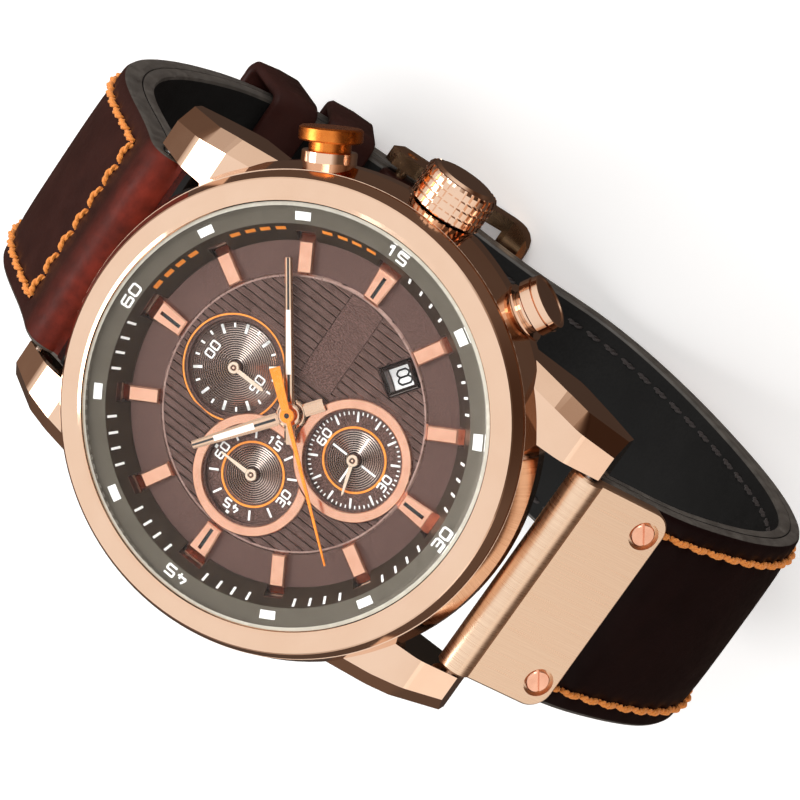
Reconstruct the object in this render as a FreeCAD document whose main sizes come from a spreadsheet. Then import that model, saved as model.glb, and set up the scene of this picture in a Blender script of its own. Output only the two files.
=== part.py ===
"""Quartz chronograph wristwatch on a buckled leather strap, as separate pieces.

Frame: millimetres, +Z out of the dial, +X to 3 o'clock (crown), +Y to 12 o'clock.
The origin is the centre of the case back's outer face.
"""
import FreeCAD, Part
import math
import os
import Sketcher

# Driving dimensions. Heights (names ending in _z) are measured from the case back's outer face.
SIZES = {
    # middle case, bezel and crystal
    "case_radius": 22.3, "case_top_radius": 21.7, "case_foot_radius": 19.4,
    "case_bottom_z": 0.9, "case_top_z": 10.4, "cavity_radius": 16.2, "ring_seat_radius": 19.1,
    "dial_seat_z": 9.1, "bezel_inner": 18.95, "bezel_edge": 19.4, "bezel_flat": 21.05,
    "bezel_outer": 21.6, "bezel_top_z": 12.0, "crystal_radius": 18.6, "crystal_z": 11.5,
    "crystal_thick": 0.85, "back_radius": 18.6, "back_spigot": 15.2,
    # lugs and spring bars
    "lug_inner": 11.1, "lug_outer": 17.2, "lug_taper_end": 14.5, "lug_tip_y": 24.9,
    "bar_y": 23.9, "bar_z": 4.4, "bar_radius": 0.75, "tip_radius": 0.45, "lug_hole_radius": 0.5,
    "lug_hole_depth": 1.5, "running_gap": 0.05,
    # chapter ring, dial and markers
    "ring_inner": 15.4, "ring_lip": 17.0, "ring_lip_z": 11.2, "ring_top_z": 11.45,
    "dial_radius": 15.95, "dial_thick": 0.8, "sub_distance": 6.8, "sub_recess": 0.4,
    "sub_ring_outer": 5.5, "sub_ring_inner": 4.6, "sub_ring_height": 0.3, "sub_top_radius": 4.4,
    "marker_inner": 12.55, "marker_flat_end": 15.3, "marker_outer": 16.1, "marker_half": 0.68,
    "marker_height": 0.6, "quarter_inner_half": 0.78, "quarter_outer_half": 1.03,
    "notch_inner": 14.9, "notch_outer": 16.3, "notch_gap": 0.2,
    "date_distance": 10.5, "date_angle": -35.0, "date_long": 2.3, "date_wide": 1.9, "date_rim": 0.45,
    # movement levels
    "movement_radius": 13.0, "plate_z": 4.9, "plate_top_z": 6.9, "date_ledge_z": 7.65,
    "motion_z": 7.0, "train_z": 4.2, "bridge_z": 2.3, "bridge_thick": 0.6, "gear_module": 0.16,
    "arbor_radius": 0.28, "centre_distance": 3.2, "post_radius": 0.3,
    "screw_radius": 0.35, "hand_low_z": 9.02, "chrono_low_z": 10.55,
    # crown and push-pieces
    "stem_z": 5.8, "stem_radius": 0.6, "crown_radius": 3.5, "crown_start": 21.9, "crown_end": 25.6,
    "crown_bore": 1.8, "crown_floor": 24.6, "crown_recess_start": 21.8, "crown_recess_radius": 3.72,
    "tube_start": 18.8, "tube_end": 24.2, "tube_radius": 1.25, "tube_bore": 0.66, "pusher_angle": 30.0,
    "collar_radius": 2.5, "collar_start": 20.9, "collar_end": 23.2, "cap_radius": 2.88, "cap_start": 24.0,
    "cap_end": 25.3, "neck_radius": 1.9, "shaft_radius": 0.55, "barrel_radius": 2.8,
    "pusher_gap": 0.05,
    # strap, end plate and buckle
    "strap_half": 10.8, "tail_half": 10.2, "leather": 1.6, "lining": 1.2, "tail_thick": 2.4,
    "plate_half": 10.8, "plate_thick": 1.3, "roll_radius": 1.6, "screw_x": 8.3, "base_z": -51.0,
    "buckle_half": 12.5, "buckle_inside": 11.0, "buckle_corner": 2.2, "hinge_y": 16.95, "hinge_z": -44.78,
    "hinge_radius": 0.6, "tongue_half": 0.9, "keeper_wide": 5.2, "keeper_thick": 1.1,
    "bend_y": 14.9, "bend_z": -25.4, "bend_radius": 21.5, "tail_gap": 0.4, "free_bar_y": 3.2,
    "free_bar_wide": 3.0, "free_bar_thick": 1.95, "plate_slope": 40.7, "plate_length": 9.56,
    "plate_rise": 0.84, "screw_along": 7.7,
}

doc = FreeCAD.newDocument("wristwatch")
sheet = doc.addObject("Spreadsheet::Sheet", "Sizes")
for row, (alias, value) in enumerate(SIZES.items(), start=1):
    sheet.set("A%d" % row, alias)
    sheet.set("B%d" % row, str(value))
    sheet.setAlias("B%d" % row, alias)
doc.recompute()


class Size:
    """A length that carries both its value and the spreadsheet expression that gives it."""

    def __init__(self, value, text):
        self.value = value
        self.text = text

    def __add__(self, other):
        other = size(other)
        return Size(self.value + other.value, "(%s + %s)" % (self.text, other.text))

    def __sub__(self, other):
        other = size(other)
        return Size(self.value - other.value, "(%s - %s)" % (self.text, other.text))

    def __mul__(self, factor):
        return Size(self.value * factor, "(%s * %.9g)" % (self.text, factor))

    def __neg__(self):
        return Size(-self.value, "(-%s)" % self.text)

    def __radd__(self, other):
        return size(other) + self

    def __rsub__(self, other):
        return size(other) - self


def size(thing):
    """Turn a plain number into a Size; a Size stays as it is."""
    if isinstance(thing, Size):
        return thing
    return Size(float(thing), "%.9g" % thing)


class Driving:
    """Gives each driving dimension as an attribute, such as S.case_radius."""

    def __getattr__(self, alias):
        return Size(SIZES[alias], "Sizes." + alias)


S = Driving()
nodes = []


# ---------------------------------------------------------------- building helpers
def bind(thing, prop, amount):
    """Bind one property of a document object to the spreadsheet."""
    thing.setExpression(prop, size(amount).text)


def keep(thing, label):
    """Label an object as one of the watch's pieces."""
    thing.Label = label
    nodes.append(thing)
    return thing


def put(thing, x=0, y=0, z=0, turn=0.0, tilt=None):
    """Place an object: turn is about Z in degrees, tilt is a whole rotation instead."""
    rotation = tilt or FreeCAD.Rotation(FreeCAD.Vector(0, 0, 1), turn)
    point = [size(x), size(y), size(z)]
    thing.Placement = FreeCAD.Placement(FreeCAD.Vector(*[p.value for p in point]), rotation)
    for axis, amount in zip("xyz", point):
        bind(thing, "Placement.Base." + axis, amount)
    return thing


def new_body(name):
    return doc.addObject("PartDesign::Body", name)


def sketch(body, plane, offset=0):
    """An empty sketch on one of the body's own origin planes, moved along the plane's normal."""
    flat = body.newObject("Sketcher::SketchObject", body.Name + "_sketch")
    support = [f for f in body.Origin.OriginFeatures if f.Role == plane + "_Plane"][0]
    flat.AttachmentSupport = [(support, "")]
    flat.MapMode = "FlatFace"
    bind(flat, "AttachmentOffset.Base.z", offset)
    return flat


def draw_outline(flat, points):
    """A closed outline of straight lines, with every corner bound to the spreadsheet."""
    corners = [(size(x), size(y)) for x, y in points]
    first = flat.GeometryCount
    count = len(corners)
    for i, (x, y) in enumerate(corners):
        nx, ny = corners[(i + 1) % count]
        line = Part.LineSegment(FreeCAD.Vector(x.value, y.value, 0), FreeCAD.Vector(nx.value, ny.value, 0))
        flat.addGeometry(line, False)
    joins = [Sketcher.Constraint("Coincident", first + i, 2, first + (i + 1) % count,
                                 1) for i in range(count)]
    flat.addConstraint(joins)
    for i, (x, y) in enumerate(corners):
        for kind, amount in (("DistanceX", x), ("DistanceY", y)):
            number = flat.addConstraint(Sketcher.Constraint(kind, -1, 1, first + i, 1, amount.value))
            bind(flat, "Constraints[%d]" % number, amount)


def draw_circle(flat, x, y, radius):
    """A circle with its centre and radius bound to the spreadsheet."""
    x, y, radius = size(x), size(y), size(radius)
    centre = FreeCAD.Vector(x.value, y.value, 0)
    shape = flat.addGeometry(Part.Circle(centre, FreeCAD.Vector(0, 0, 1), radius.value), False)
    for kind, amount in (("DistanceX", x), ("DistanceY", y)):
        number = flat.addConstraint(Sketcher.Constraint(kind, -1, 1, shape, 3, amount.value))
        bind(flat, "Constraints[%d]" % number, amount)
    number = flat.addConstraint(Sketcher.Constraint("Radius", shape, radius.value))
    bind(flat, "Constraints[%d]" % number, radius)


def revolve(body, points, about="V_Axis", name="turned"):
    """Turn an outline drawn on the XZ plane; V_Axis is the body's Z and H_Axis its X."""
    flat = sketch(body, "XZ")
    draw_outline(flat, points)
    turned = body.newObject("PartDesign::Revolution", body.Name + "_" + name)
    turned.Profile = flat
    turned.ReferenceAxis = (flat, [about])
    turned.Angle = 360
    return turned


def pad(body, flat, length, middle=False):
    block = body.newObject("PartDesign::Pad", body.Name + "_pad")
    block.Profile = flat
    block.Midplane = middle
    bind(block, "Length", length)
    return block


def pocket(body, flat, length=None):
    """Cut through both ways from the sketch; a length keeps the cut within half of it each way."""
    cut = body.newObject("PartDesign::Pocket", body.Name + "_pocket")
    cut.Profile = flat
    cut.Midplane = True
    if length is None:
        cut.Type = "ThroughAll"
    else:
        bind(cut, "Length", length)
    return cut


def turned_piece(label, points, about="V_Axis", **place):
    body = new_body(label)
    revolve(body, points, about)
    put(body, **place)
    return keep(body, label)


def flat_piece(label, points, thick, plane="XY", offset=0, middle=False, circles=(), **place):
    """A plate of straight-edged outline, with round holes."""
    body = new_body(label)
    flat = sketch(body, plane, offset)
    draw_outline(flat, points)
    for x, y, radius in circles:
        draw_circle(flat, x, y, radius)
    pad(body, flat, thick, middle)
    put(body, **place)
    return keep(body, label)


def washer(inner, outer, low, high):
    """The (r, z) outline of a plain ring."""
    return [(inner, low), (outer, low), (outer, high), (inner, high)]


def box_points(x1, x2, y1, y2):
    return [(x1, y1), (x2, y1), (x2, y2), (x1, y2)]


def chamfer_edges(body, base, pick, amount):
    """Chamfer the edges of the body's last feature that pick() accepts."""
    doc.recompute()
    edges = ["Edge%d" % (i + 1) for i, edge in enumerate(base.Shape.Edges) if pick(edge)]
    cut = body.newObject("PartDesign::Chamfer", body.Name + "_chamfer")
    cut.Base = (base, edges)
    bind(cut, "Size", amount)
    return cut


def fillet_edges(body, base, pick, amount):
    doc.recompute()
    edges = ["Edge%d" % (i + 1) for i, edge in enumerate(base.Shape.Edges) if pick(edge)]
    soft = body.newObject("PartDesign::Fillet", body.Name + "_fillet")
    soft.Base = (base, edges)
    bind(soft, "Radius", amount)
    return soft


# ---------------------------------------------------------------- case, bezel, crystal, back
def lug_side(sign):
    """Side view (y, z) of the lugs at one end of the case."""
    top_z = S.case_top_z - 2.0
    outline = [(13.6, top_z + 0.3), (18.6, top_z), (21.6, top_z - 0.6), (S.lug_tip_y, S.bar_z + 0.6),
               (S.lug_tip_y - 0.1, S.bar_z - 3.0), (22.0, 1.3), (18.0, 1.5), (13.6, 4.2)]
    return [(size(y) * sign, z) for y, z in outline]


def middle_case():
    body = new_body("case_middle")
    side = sketch(body, "YZ")
    for sign in (1, -1):
        draw_outline(side, lug_side(sign))
    lugs = pad(body, side, S.lug_outer * 2, middle=True)

    def bend(edge):
        along_x = abs(edge.tangentAt(edge.FirstParameter).x) > 0.99
        middle = edge.CenterOfMass
        return along_x and 21.0 < abs(middle.y) < 22.0 and middle.z > 6
    fillet_edges(body, lugs, bend, 3.0)

    gap = sketch(body, "XY")
    flare = sketch(body, "XY")
    for sign in (1, -1):
        near, far = S.bar_y * sign - 12.0 * sign, S.lug_tip_y * sign + 2.0 * sign
        draw_outline(gap, box_points(-S.lug_inner, S.lug_inner, near, far))
        for hand in (1, -1):
            edge = [(S.lug_outer, 12.0), (S.lug_outer - 1.0, 19.0), (S.lug_taper_end, 28.0),
                    (S.lug_outer + 3.0, 28.0), (S.lug_outer + 3.0, 12.0)]
            draw_outline(flare, [(size(x) * hand, size(y) * sign) for x, y in edge])
    pocket(body, gap)
    trimmed = pocket(body, flare)

    def outer_top(edge):
        middle = edge.CenterOfMass
        start, end = edge.Vertexes[0].Point, edge.Vertexes[-1].Point
        outside = min(abs(start.x), abs(end.x)) > 14.0
        return outside and abs(end.y - start.y) > 1.2 and middle.z > 5.2 and min(start.z, end.z) > 2.9
    chamfer_edges(body, trimmed, outer_top, 1.5)

    revolve(body, [(0, S.case_bottom_z), (S.case_foot_radius, S.case_bottom_z), (S.case_radius - 0.7, 3.8),
                   (S.case_radius, 5.8), (S.case_radius, 7.6), (S.case_top_radius, S.case_top_z),
                   (0, S.case_top_z)], name="flank")
    seat = sketch(body, "XY", S.case_top_z)
    draw_circle(seat, 0, 0, S.ring_seat_radius)
    pocket(body, seat, (S.case_top_z - S.dial_seat_z) * 2)
    cavity = sketch(body, "XY")
    draw_circle(cavity, 0, 0, S.cavity_radius)
    pocket(body, cavity)
    bar_holes = sketch(body, "YZ")
    for sign in (1, -1):
        draw_circle(bar_holes, S.bar_y * sign, S.bar_z, S.lug_hole_radius)
    pocket(body, bar_holes, (S.lug_inner + S.lug_hole_depth) * 2)
    stem_hole = sketch(body, "YZ", 20.0)
    draw_circle(stem_hole, 0, S.stem_z, S.tube_radius)
    pocket(body, stem_hole, 10.0)
    return keep(body, "case_middle")


def drilled_case():
    """The middle case with its crown recess and slanting push-piece bores, which no origin plane faces."""
    body = middle_case()
    nodes.remove(body)
    body.Label = "case_middle_blank"
    drills = []
    for sign in (1, -1):
        drill = doc.addObject("Part::Cylinder", "push_piece_drill")
        bind(drill, "Radius", S.collar_radius - 0.9)
        bind(drill, "Height", 10.0)
        sink = doc.addObject("Part::Cylinder", "push_piece_seat")
        bind(sink, "Radius", S.collar_radius if sign > 0 else S.barrel_radius)
        bind(sink, "Height", 5.0)
        turn = FreeCAD.Rotation(FreeCAD.Vector(0, 0, 1), SIZES["pusher_angle"] * sign)
        lay = FreeCAD.Rotation(FreeCAD.Vector(0, 1, 0), 90)
        angle = math.radians(SIZES["pusher_angle"] * sign)
        for tool, start in ((drill, 15.0), (sink, SIZES["collar_start"])):
            put(tool, x=start * math.cos(angle), y=start * math.sin(angle), z=S.stem_z, tilt=turn * lay)
            drills.append(tool)
    recess = doc.addObject("Part::Cylinder", "crown_recess")
    bind(recess, "Radius", S.crown_recess_radius)
    bind(recess, "Height", 5.0)
    put(recess, x=S.crown_recess_start, z=S.stem_z, tilt=FreeCAD.Rotation(FreeCAD.Vector(0, 1, 0), 90))
    both = doc.addObject("Part::MultiFuse", "push_piece_drills")
    both.Shapes = drills + [recess]
    case = doc.addObject("Part::Cut", "case_middle_drilled")
    case.Base = body
    case.Tool = both
    return keep(case, "case_middle")


def case_parts():
    drilled_case()
    bottom = S.case_top_z
    turned_piece("bezel", [
        (S.bezel_inner, bottom), (S.bezel_outer - 0.15, bottom), (S.bezel_outer - 0.15, bottom + 0.2),
        (S.bezel_outer, bottom + 0.3), (S.bezel_flat, S.bezel_top_z - 0.1),
        (S.bezel_flat - 0.12, S.bezel_top_z),
        (S.bezel_edge, S.bezel_top_z), (S.bezel_inner + 0.1, S.bezel_top_z + 0.12),
        (S.bezel_inner, S.bezel_top_z)])
    turned_piece("crystal", [
        (0, S.crystal_z), (S.crystal_radius, S.crystal_z),
        (S.crystal_radius, S.crystal_z + S.crystal_thick - 0.2),
        (S.crystal_radius - 0.25, S.crystal_z + S.crystal_thick), (0, S.crystal_z + S.crystal_thick)])
    turned_piece("crystal_gasket", washer(S.crystal_radius, S.bezel_inner, S.crystal_z,
                                          S.bezel_top_z - 0.15))
    turned_piece("case_back", [
        (0, 0), (S.back_radius - 0.3, 0), (S.back_radius, 0.3), (S.back_radius, S.case_bottom_z),
        (S.back_spigot, S.case_bottom_z), (S.back_spigot, S.case_bottom_z + 1.1),
        (S.back_spigot - 1.2, S.case_bottom_z + 1.1), (S.back_spigot - 1.2, S.case_bottom_z + 0.1),
        (0, S.case_bottom_z + 0.1)])
    turned_piece("case_back_gasket",
                 washer(S.back_spigot, S.cavity_radius, S.case_bottom_z, S.case_bottom_z + 0.8))


# ---------------------------------------------------------------- dial side
SUB_DIALS = {"twelve": (0, 1), "nine": (-1, 0), "six": (0, -1)}


def sub_centre(where):
    across, up = SUB_DIALS[where]
    return S.sub_distance * across, S.sub_distance * up


def dial():
    body = new_body("dial")
    low = S.dial_seat_z - S.dial_thick
    revolve(body, [(0, low), (S.dial_radius, low), (S.dial_radius, S.dial_seat_z), (0, S.dial_seat_z)])
    sunk = sketch(body, "XY", S.dial_seat_z)
    for where in SUB_DIALS:
        x, y = sub_centre(where)
        draw_circle(sunk, x, y, S.sub_top_radius)
    pocket(body, sunk, S.sub_recess * 2)
    holes = sketch(body, "XY", S.dial_seat_z)
    draw_circle(holes, 0, 0, 1.3)
    for where in SUB_DIALS:
        x, y = sub_centre(where)
        draw_circle(holes, x, y, S.arbor_radius + 0.1)
    pocket(body, holes)
    blank = keep(body, "dial_blank")
    nodes.remove(blank)
    window = doc.addObject("Part::Box", "date_window_hole")
    bind(window, "Length", S.date_long)
    bind(window, "Width", S.date_wide)
    bind(window, "Height", 4.0)
    angle = math.radians(SIZES["date_angle"])
    along = FreeCAD.Vector(math.cos(angle), math.sin(angle))
    across = FreeCAD.Vector(-along.y, along.x)
    corner = along * (SIZES["date_distance"] - SIZES["date_long"] / 2) - across * (SIZES["date_wide"] / 2)
    put(window, x=corner.x, y=corner.y, z=6.5, turn=SIZES["date_angle"])
    cut = doc.addObject("Part::Cut", "dial_with_window")
    cut.Base = body
    cut.Tool = window
    return keep(cut, "dial")


def date_frame():
    """A sloped steel frame round the date window."""
    body = new_body("date_window_frame")
    half_long, half_wide = S.date_long * 0.5, S.date_wide * 0.5
    flat = sketch(body, "XY")
    draw_outline(flat, box_points(-half_long - S.date_rim, half_long + S.date_rim,
                                  -half_wide - S.date_rim, half_wide + S.date_rim))
    draw_outline(flat, box_points(-half_long, half_long, -half_wide, half_wide))
    block = pad(body, flat, 0.3)

    def rim(edge):
        middle = edge.CenterOfMass
        return middle.z > 0.29 and max(abs(middle.x) - SIZES["date_long"] / 2,
                                       abs(middle.y) - SIZES["date_wide"] / 2) > 0.3
    chamfer_edges(body, block, rim, 0.2)
    angle = math.radians(SIZES["date_angle"])
    put(body, x=S.date_distance * math.cos(angle), y=S.date_distance * math.sin(angle), z=S.dial_seat_z,
        turn=SIZES["date_angle"])
    return keep(body, "date_window_frame")


def marker_points(inner_half, outer_half):
    """Plan outline of one marker that points along +Y."""
    return [(-inner_half, S.marker_inner), (inner_half, S.marker_inner), (outer_half, S.marker_outer),
            (-outer_half, S.marker_outer)]


def hour_marker(hour):
    """One applied marker: a bevelled bar with a sloping outer end; the quarters are wider and slotted."""
    body = new_body("hour_marker_%02d" % hour)
    flat = sketch(body, "XY")
    quarter = hour % 3 == 0
    if quarter:
        draw_outline(flat, marker_points(S.quarter_inner_half, S.quarter_outer_half))
        draw_outline(flat, box_points(-0.17, 0.17, S.marker_inner + 0.3, S.marker_flat_end - 0.3))
    else:
        draw_outline(flat, marker_points(S.marker_half, S.marker_half))
    pad(body, flat, S.marker_height)
    side = sketch(body, "YZ")
    draw_outline(side, [(S.marker_flat_end, S.marker_height), (S.marker_outer + 0.2, S.marker_height),
                        (S.marker_outer + 0.2, 0.1), (S.marker_outer, 0.1)])
    block = pocket(body, side)

    def top_edge(edge):
        middle = edge.CenterOfMass
        slot = abs(middle.x) < 0.3 and middle.y > SIZES["marker_inner"] + 0.1
        return middle.z > SIZES["marker_height"] - 0.01 and not slot
    chamfer_edges(body, block, top_edge, 0.12)
    put(body, z=S.dial_seat_z, turn=-30.0 * hour)
    return body


def group(label, pieces):
    """Several separate solids that share one node."""
    joined = doc.addObject("Part::Compound", label + "_group")
    joined.Links = pieces
    return keep(joined, label)


def sub_ring(where):
    body = new_body("sub_dial_ring_" + where)
    x, y = sub_centre(where)
    edge = 0.08
    revolve(body, [(S.sub_ring_inner, 0), (S.sub_ring_outer, 0),
                   (S.sub_ring_outer, S.sub_ring_height - edge),
                   (S.sub_ring_outer - edge, S.sub_ring_height),
                   (S.sub_ring_inner + edge, S.sub_ring_height),
                   (S.sub_ring_inner, S.sub_ring_height - edge)])
    put(body, x=x, y=y, z=S.dial_seat_z)
    return body


def nine_ring_trimmed():
    """The ring at 9 and the ring at 6 cross near the centre line, so the 9 o'clock one is notched."""
    nine, six = sub_ring("nine"), sub_ring("six")
    notch = doc.addObject("Part::Cylinder", "ring_notch")
    x, y = sub_centre("six")
    bind(notch, "Radius", S.sub_ring_outer + 0.05)
    bind(notch, "Height", 2.0)
    put(notch, x=x, y=y, z=S.dial_seat_z - 0.5)
    cut = doc.addObject("Part::Cut", "sub_dial_ring_nine_notched")
    cut.Base = nine
    cut.Tool = notch
    return [cut, six]


def chapter_ring():
    """The sloping flange round the dial, notched where each hour marker runs into it."""
    body = new_body("chapter_ring")
    revolve(body, [(S.ring_inner, S.dial_seat_z), (S.bezel_inner, S.dial_seat_z),
                   (S.bezel_inner, S.ring_top_z),
                   (S.ring_lip, S.ring_lip_z), (S.ring_inner, S.dial_seat_z + 0.12)])
    flat = sketch(body, "XY")
    for hour in range(12):
        half = SIZES["quarter_outer_half" if hour % 3 == 0 else "marker_half"] + SIZES["notch_gap"]
        angle = math.radians(90 - 30 * hour)
        along = (math.cos(angle), math.sin(angle))
        corners = []
        near, far = SIZES["notch_inner"], SIZES["notch_outer"]
        for reach, side in ((near, -half), (far, -half), (far, half), (near, half)):
            corners.append((along[0] * reach - along[1] * side, along[1] * reach + along[0] * side))
        draw_outline(flat, corners)
    pocket(body, flat)
    return keep(body, "chapter_ring")


def dial_parts():
    chapter_ring()
    dial()
    group("hour_markers", [hour_marker(hour) for hour in range(12)])
    group("sub_dial_rings", nine_ring_trimmed())
    date_frame()


# ---------------------------------------------------------------- hands
def bar_hand(label, length, tail, half, hub, low, thick, hub_bore, angle):
    """A bar hand that narrows a little to its blunt tip, on a round hub, lying along its angle from 12."""
    body = new_body(label)
    flat = sketch(body, "XY")
    tip_half = half * 0.75
    draw_outline(flat, [(-half * 0.8, -tail), (half * 0.8, -tail), (half, 0.8), (tip_half, length),
                        (-tip_half, length), (-half, 0.8)])
    pad(body, flat, thick)
    disc = sketch(body, "XY")
    draw_circle(disc, 0, 0, hub)
    pad(body, disc, thick + 0.05)
    bore = sketch(body, "XY")
    draw_circle(bore, 0, 0, hub_bore)
    pocket(body, bore)
    put(body, z=low, turn=-angle)
    return keep(body, label)


def sub_hand(label, where, angle, length=3.5, low=9.02):
    """A short tapered sub-dial hand with a counterweight and a hub pipe."""
    body = new_body(label)
    x, y = sub_centre(where)
    flat = sketch(body, "XY")
    draw_outline(flat, [(-0.22, -1.1), (0.22, -1.1), (0.17, 0), (0.07, length), (-0.07, length),
                        (-0.17, 0)])
    pad(body, flat, 0.12)
    disc = sketch(body, "XY")
    draw_circle(disc, 0, 0, 0.55)
    pad(body, disc, 0.35)
    put(body, x=x, y=y, z=low, turn=-angle)
    return keep(body, label)


def hands():
    bar_hand("hour_hand", 9.75, 3.2, 0.5, 1.45, 9.62, 0.22, 1.05, 306.6)
    bar_hand("minute_hand", 13.9, 2.6, 0.42, 1.1, 10.1, 0.2, 0.65, 54.3)
    body = new_body("chrono_seconds_hand")
    flat = sketch(body, "XY")
    draw_outline(flat, [(-0.57, -4.27), (0.57, -4.27), (0.4, -1.2), (0.16, 0), (0.07, 13.64),
                        (-0.07, 13.64),
                        (-0.16, 0), (-0.4, -1.2)])
    pad(body, flat, 0.14)
    disc = sketch(body, "XY")
    draw_circle(disc, 0, 0, 0.95)
    pad(body, disc, 0.4)
    put(body, z=10.55, turn=-219.6)
    keep(body, "chrono_seconds_hand")
    sub_hand("split_hand", "twelve", 180.0)
    sub_hand("minute_counter_hand", "nine", 0.0)
    sub_hand("small_seconds_hand", "six", 252.0)


# ---------------------------------------------------------------- movement
def gear(label, teeth, thick, parts=(), turn=0.0, module=SIZES["gear_module"], **place):
    """A toothed wheel of straight-flanked teeth, with further turned outlines on the same axis."""
    body = new_body(label)
    root, tip = module * (teeth / 2.0 - 1.35), module * (teeth / 2.0 + 0.8)
    disc = sketch(body, "XY")
    draw_circle(disc, 0, 0, root)
    pad(body, disc, thick)
    tooth = sketch(body, "XY")
    draw_outline(tooth, [(-0.42 * module, tip), (-0.8 * module, root - 0.05), (0.8 * module, root - 0.05),
                         (0.42 * module, tip)])
    first = pad(body, tooth, thick)
    doc.recompute()
    ring = body.newObject("PartDesign::PolarPattern", label + "_teeth")
    ring.Originals = [first]
    ring.Axis = (disc, ["N_Axis"])
    ring.Angle = 360
    ring.Occurrences = teeth
    body.Tip = ring
    for number, outline in enumerate(parts):
        revolve(body, outline, name="arbor%d" % number)
    put(body, turn=turn, **place)
    return body


def solid_arbor(radius, low, high):
    return [(0, low), (radius, low), (radius, high), (0, high)]


def bored_gear(blank, label, radius):
    """Bore a gear through its middle."""
    flat = sketch(blank, "XY")
    draw_circle(flat, 0, 0, radius)
    pocket(blank, flat)
    return keep(blank, label)


def meshing_turn(line, teeth_a, turn_a, teeth_b):
    """Turn of wheel B that puts its gap on wheel A's tooth; line is the angle from A to B in degrees."""
    phase_a = (line - 90.0 - turn_a) * teeth_a / 360.0
    return line + 90.0 - (0.5 - phase_a) * 360.0 / teeth_b


def motion_works():
    """Cannon pinion 10, minute wheel 30 with pinion 8, hour wheel 32: together 12 to 1."""
    low = S.motion_z
    cannon = gear("cannon_pinion_blank", 10, 0.3, parts=[solid_arbor(0.65, 0, 3.3)], z=low)
    bored_gear(cannon, "cannon_pinion", 0.34)
    wheel_turn = meshing_turn(MINUTE_LINE, 10, 0.0, 30)
    hour_turn = meshing_turn(MINUTE_LINE + 180.0, 8, 0.0, 32)
    hour = gear("hour_wheel_blank", 32, 0.2, parts=[solid_arbor(1.05, 0, 2.45)], turn=hour_turn,
                z=low + 0.4)
    bored_gear(hour, "hour_wheel", 0.71)
    place = {"x": S.centre_distance * math.cos(math.radians(MINUTE_LINE)),
             "y": S.centre_distance * math.sin(math.radians(MINUTE_LINE))}
    wheel = gear("minute_wheel_disc", 30, 0.22, turn=wheel_turn, z=low + 0.05, **place)
    pinion = gear("minute_wheel_pinion", 8, 0.55, z=low + 0.05, **place)
    pair = doc.addObject("Part::MultiFuse", "minute_wheel_pair")
    pair.Shapes = [wheel, pinion]
    bore = doc.addObject("Part::Cylinder", "minute_wheel_bore")
    bind(bore, "Radius", S.post_radius + 0.04)
    bind(bore, "Height", 2.0)
    put(bore, z=low - 0.5, **place)
    cut = doc.addObject("Part::Cut", "minute_wheel_bored")
    cut.Base = pair
    cut.Tool = bore
    keep(cut, "minute_wheel")


def arbor(top):
    """A turned arbor from its lower pivot up to the given height, drawn from z = 0 of the train."""
    low = S.bridge_z + S.bridge_thick
    return [(0, low - 0.45), (0.14, low - 0.45), (0.14, low + 0.15), (S.arbor_radius, low + 0.15),
            (S.arbor_radius, top), (0, top)]


def wheel_on_arbor(label, teeth, module, height, top, x=0, y=0, turn=0.0, pinion=None):
    """A wheel, an optional pinion (teeth, module, height, thickness, turn) and their arbor in one piece."""
    low = S.bridge_z + S.bridge_thick
    wheel = gear(label + "_wheel", teeth, 0.15, module=module, turn=turn, x=x, y=y, z=height)
    core = new_body(label + "_arbor")
    revolve(core, arbor(top))
    put(core, x=x, y=y)
    parts = [wheel, core]
    if pinion:
        count, fine, at, thick, around = pinion
        parts.append(gear(label + "_pinion", count, thick, module=fine, turn=around, x=x, y=y, z=at))
    joined = doc.addObject("Part::MultiFuse", label + "_joined")
    joined.Shapes = parts
    return keep(joined, label)


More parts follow.
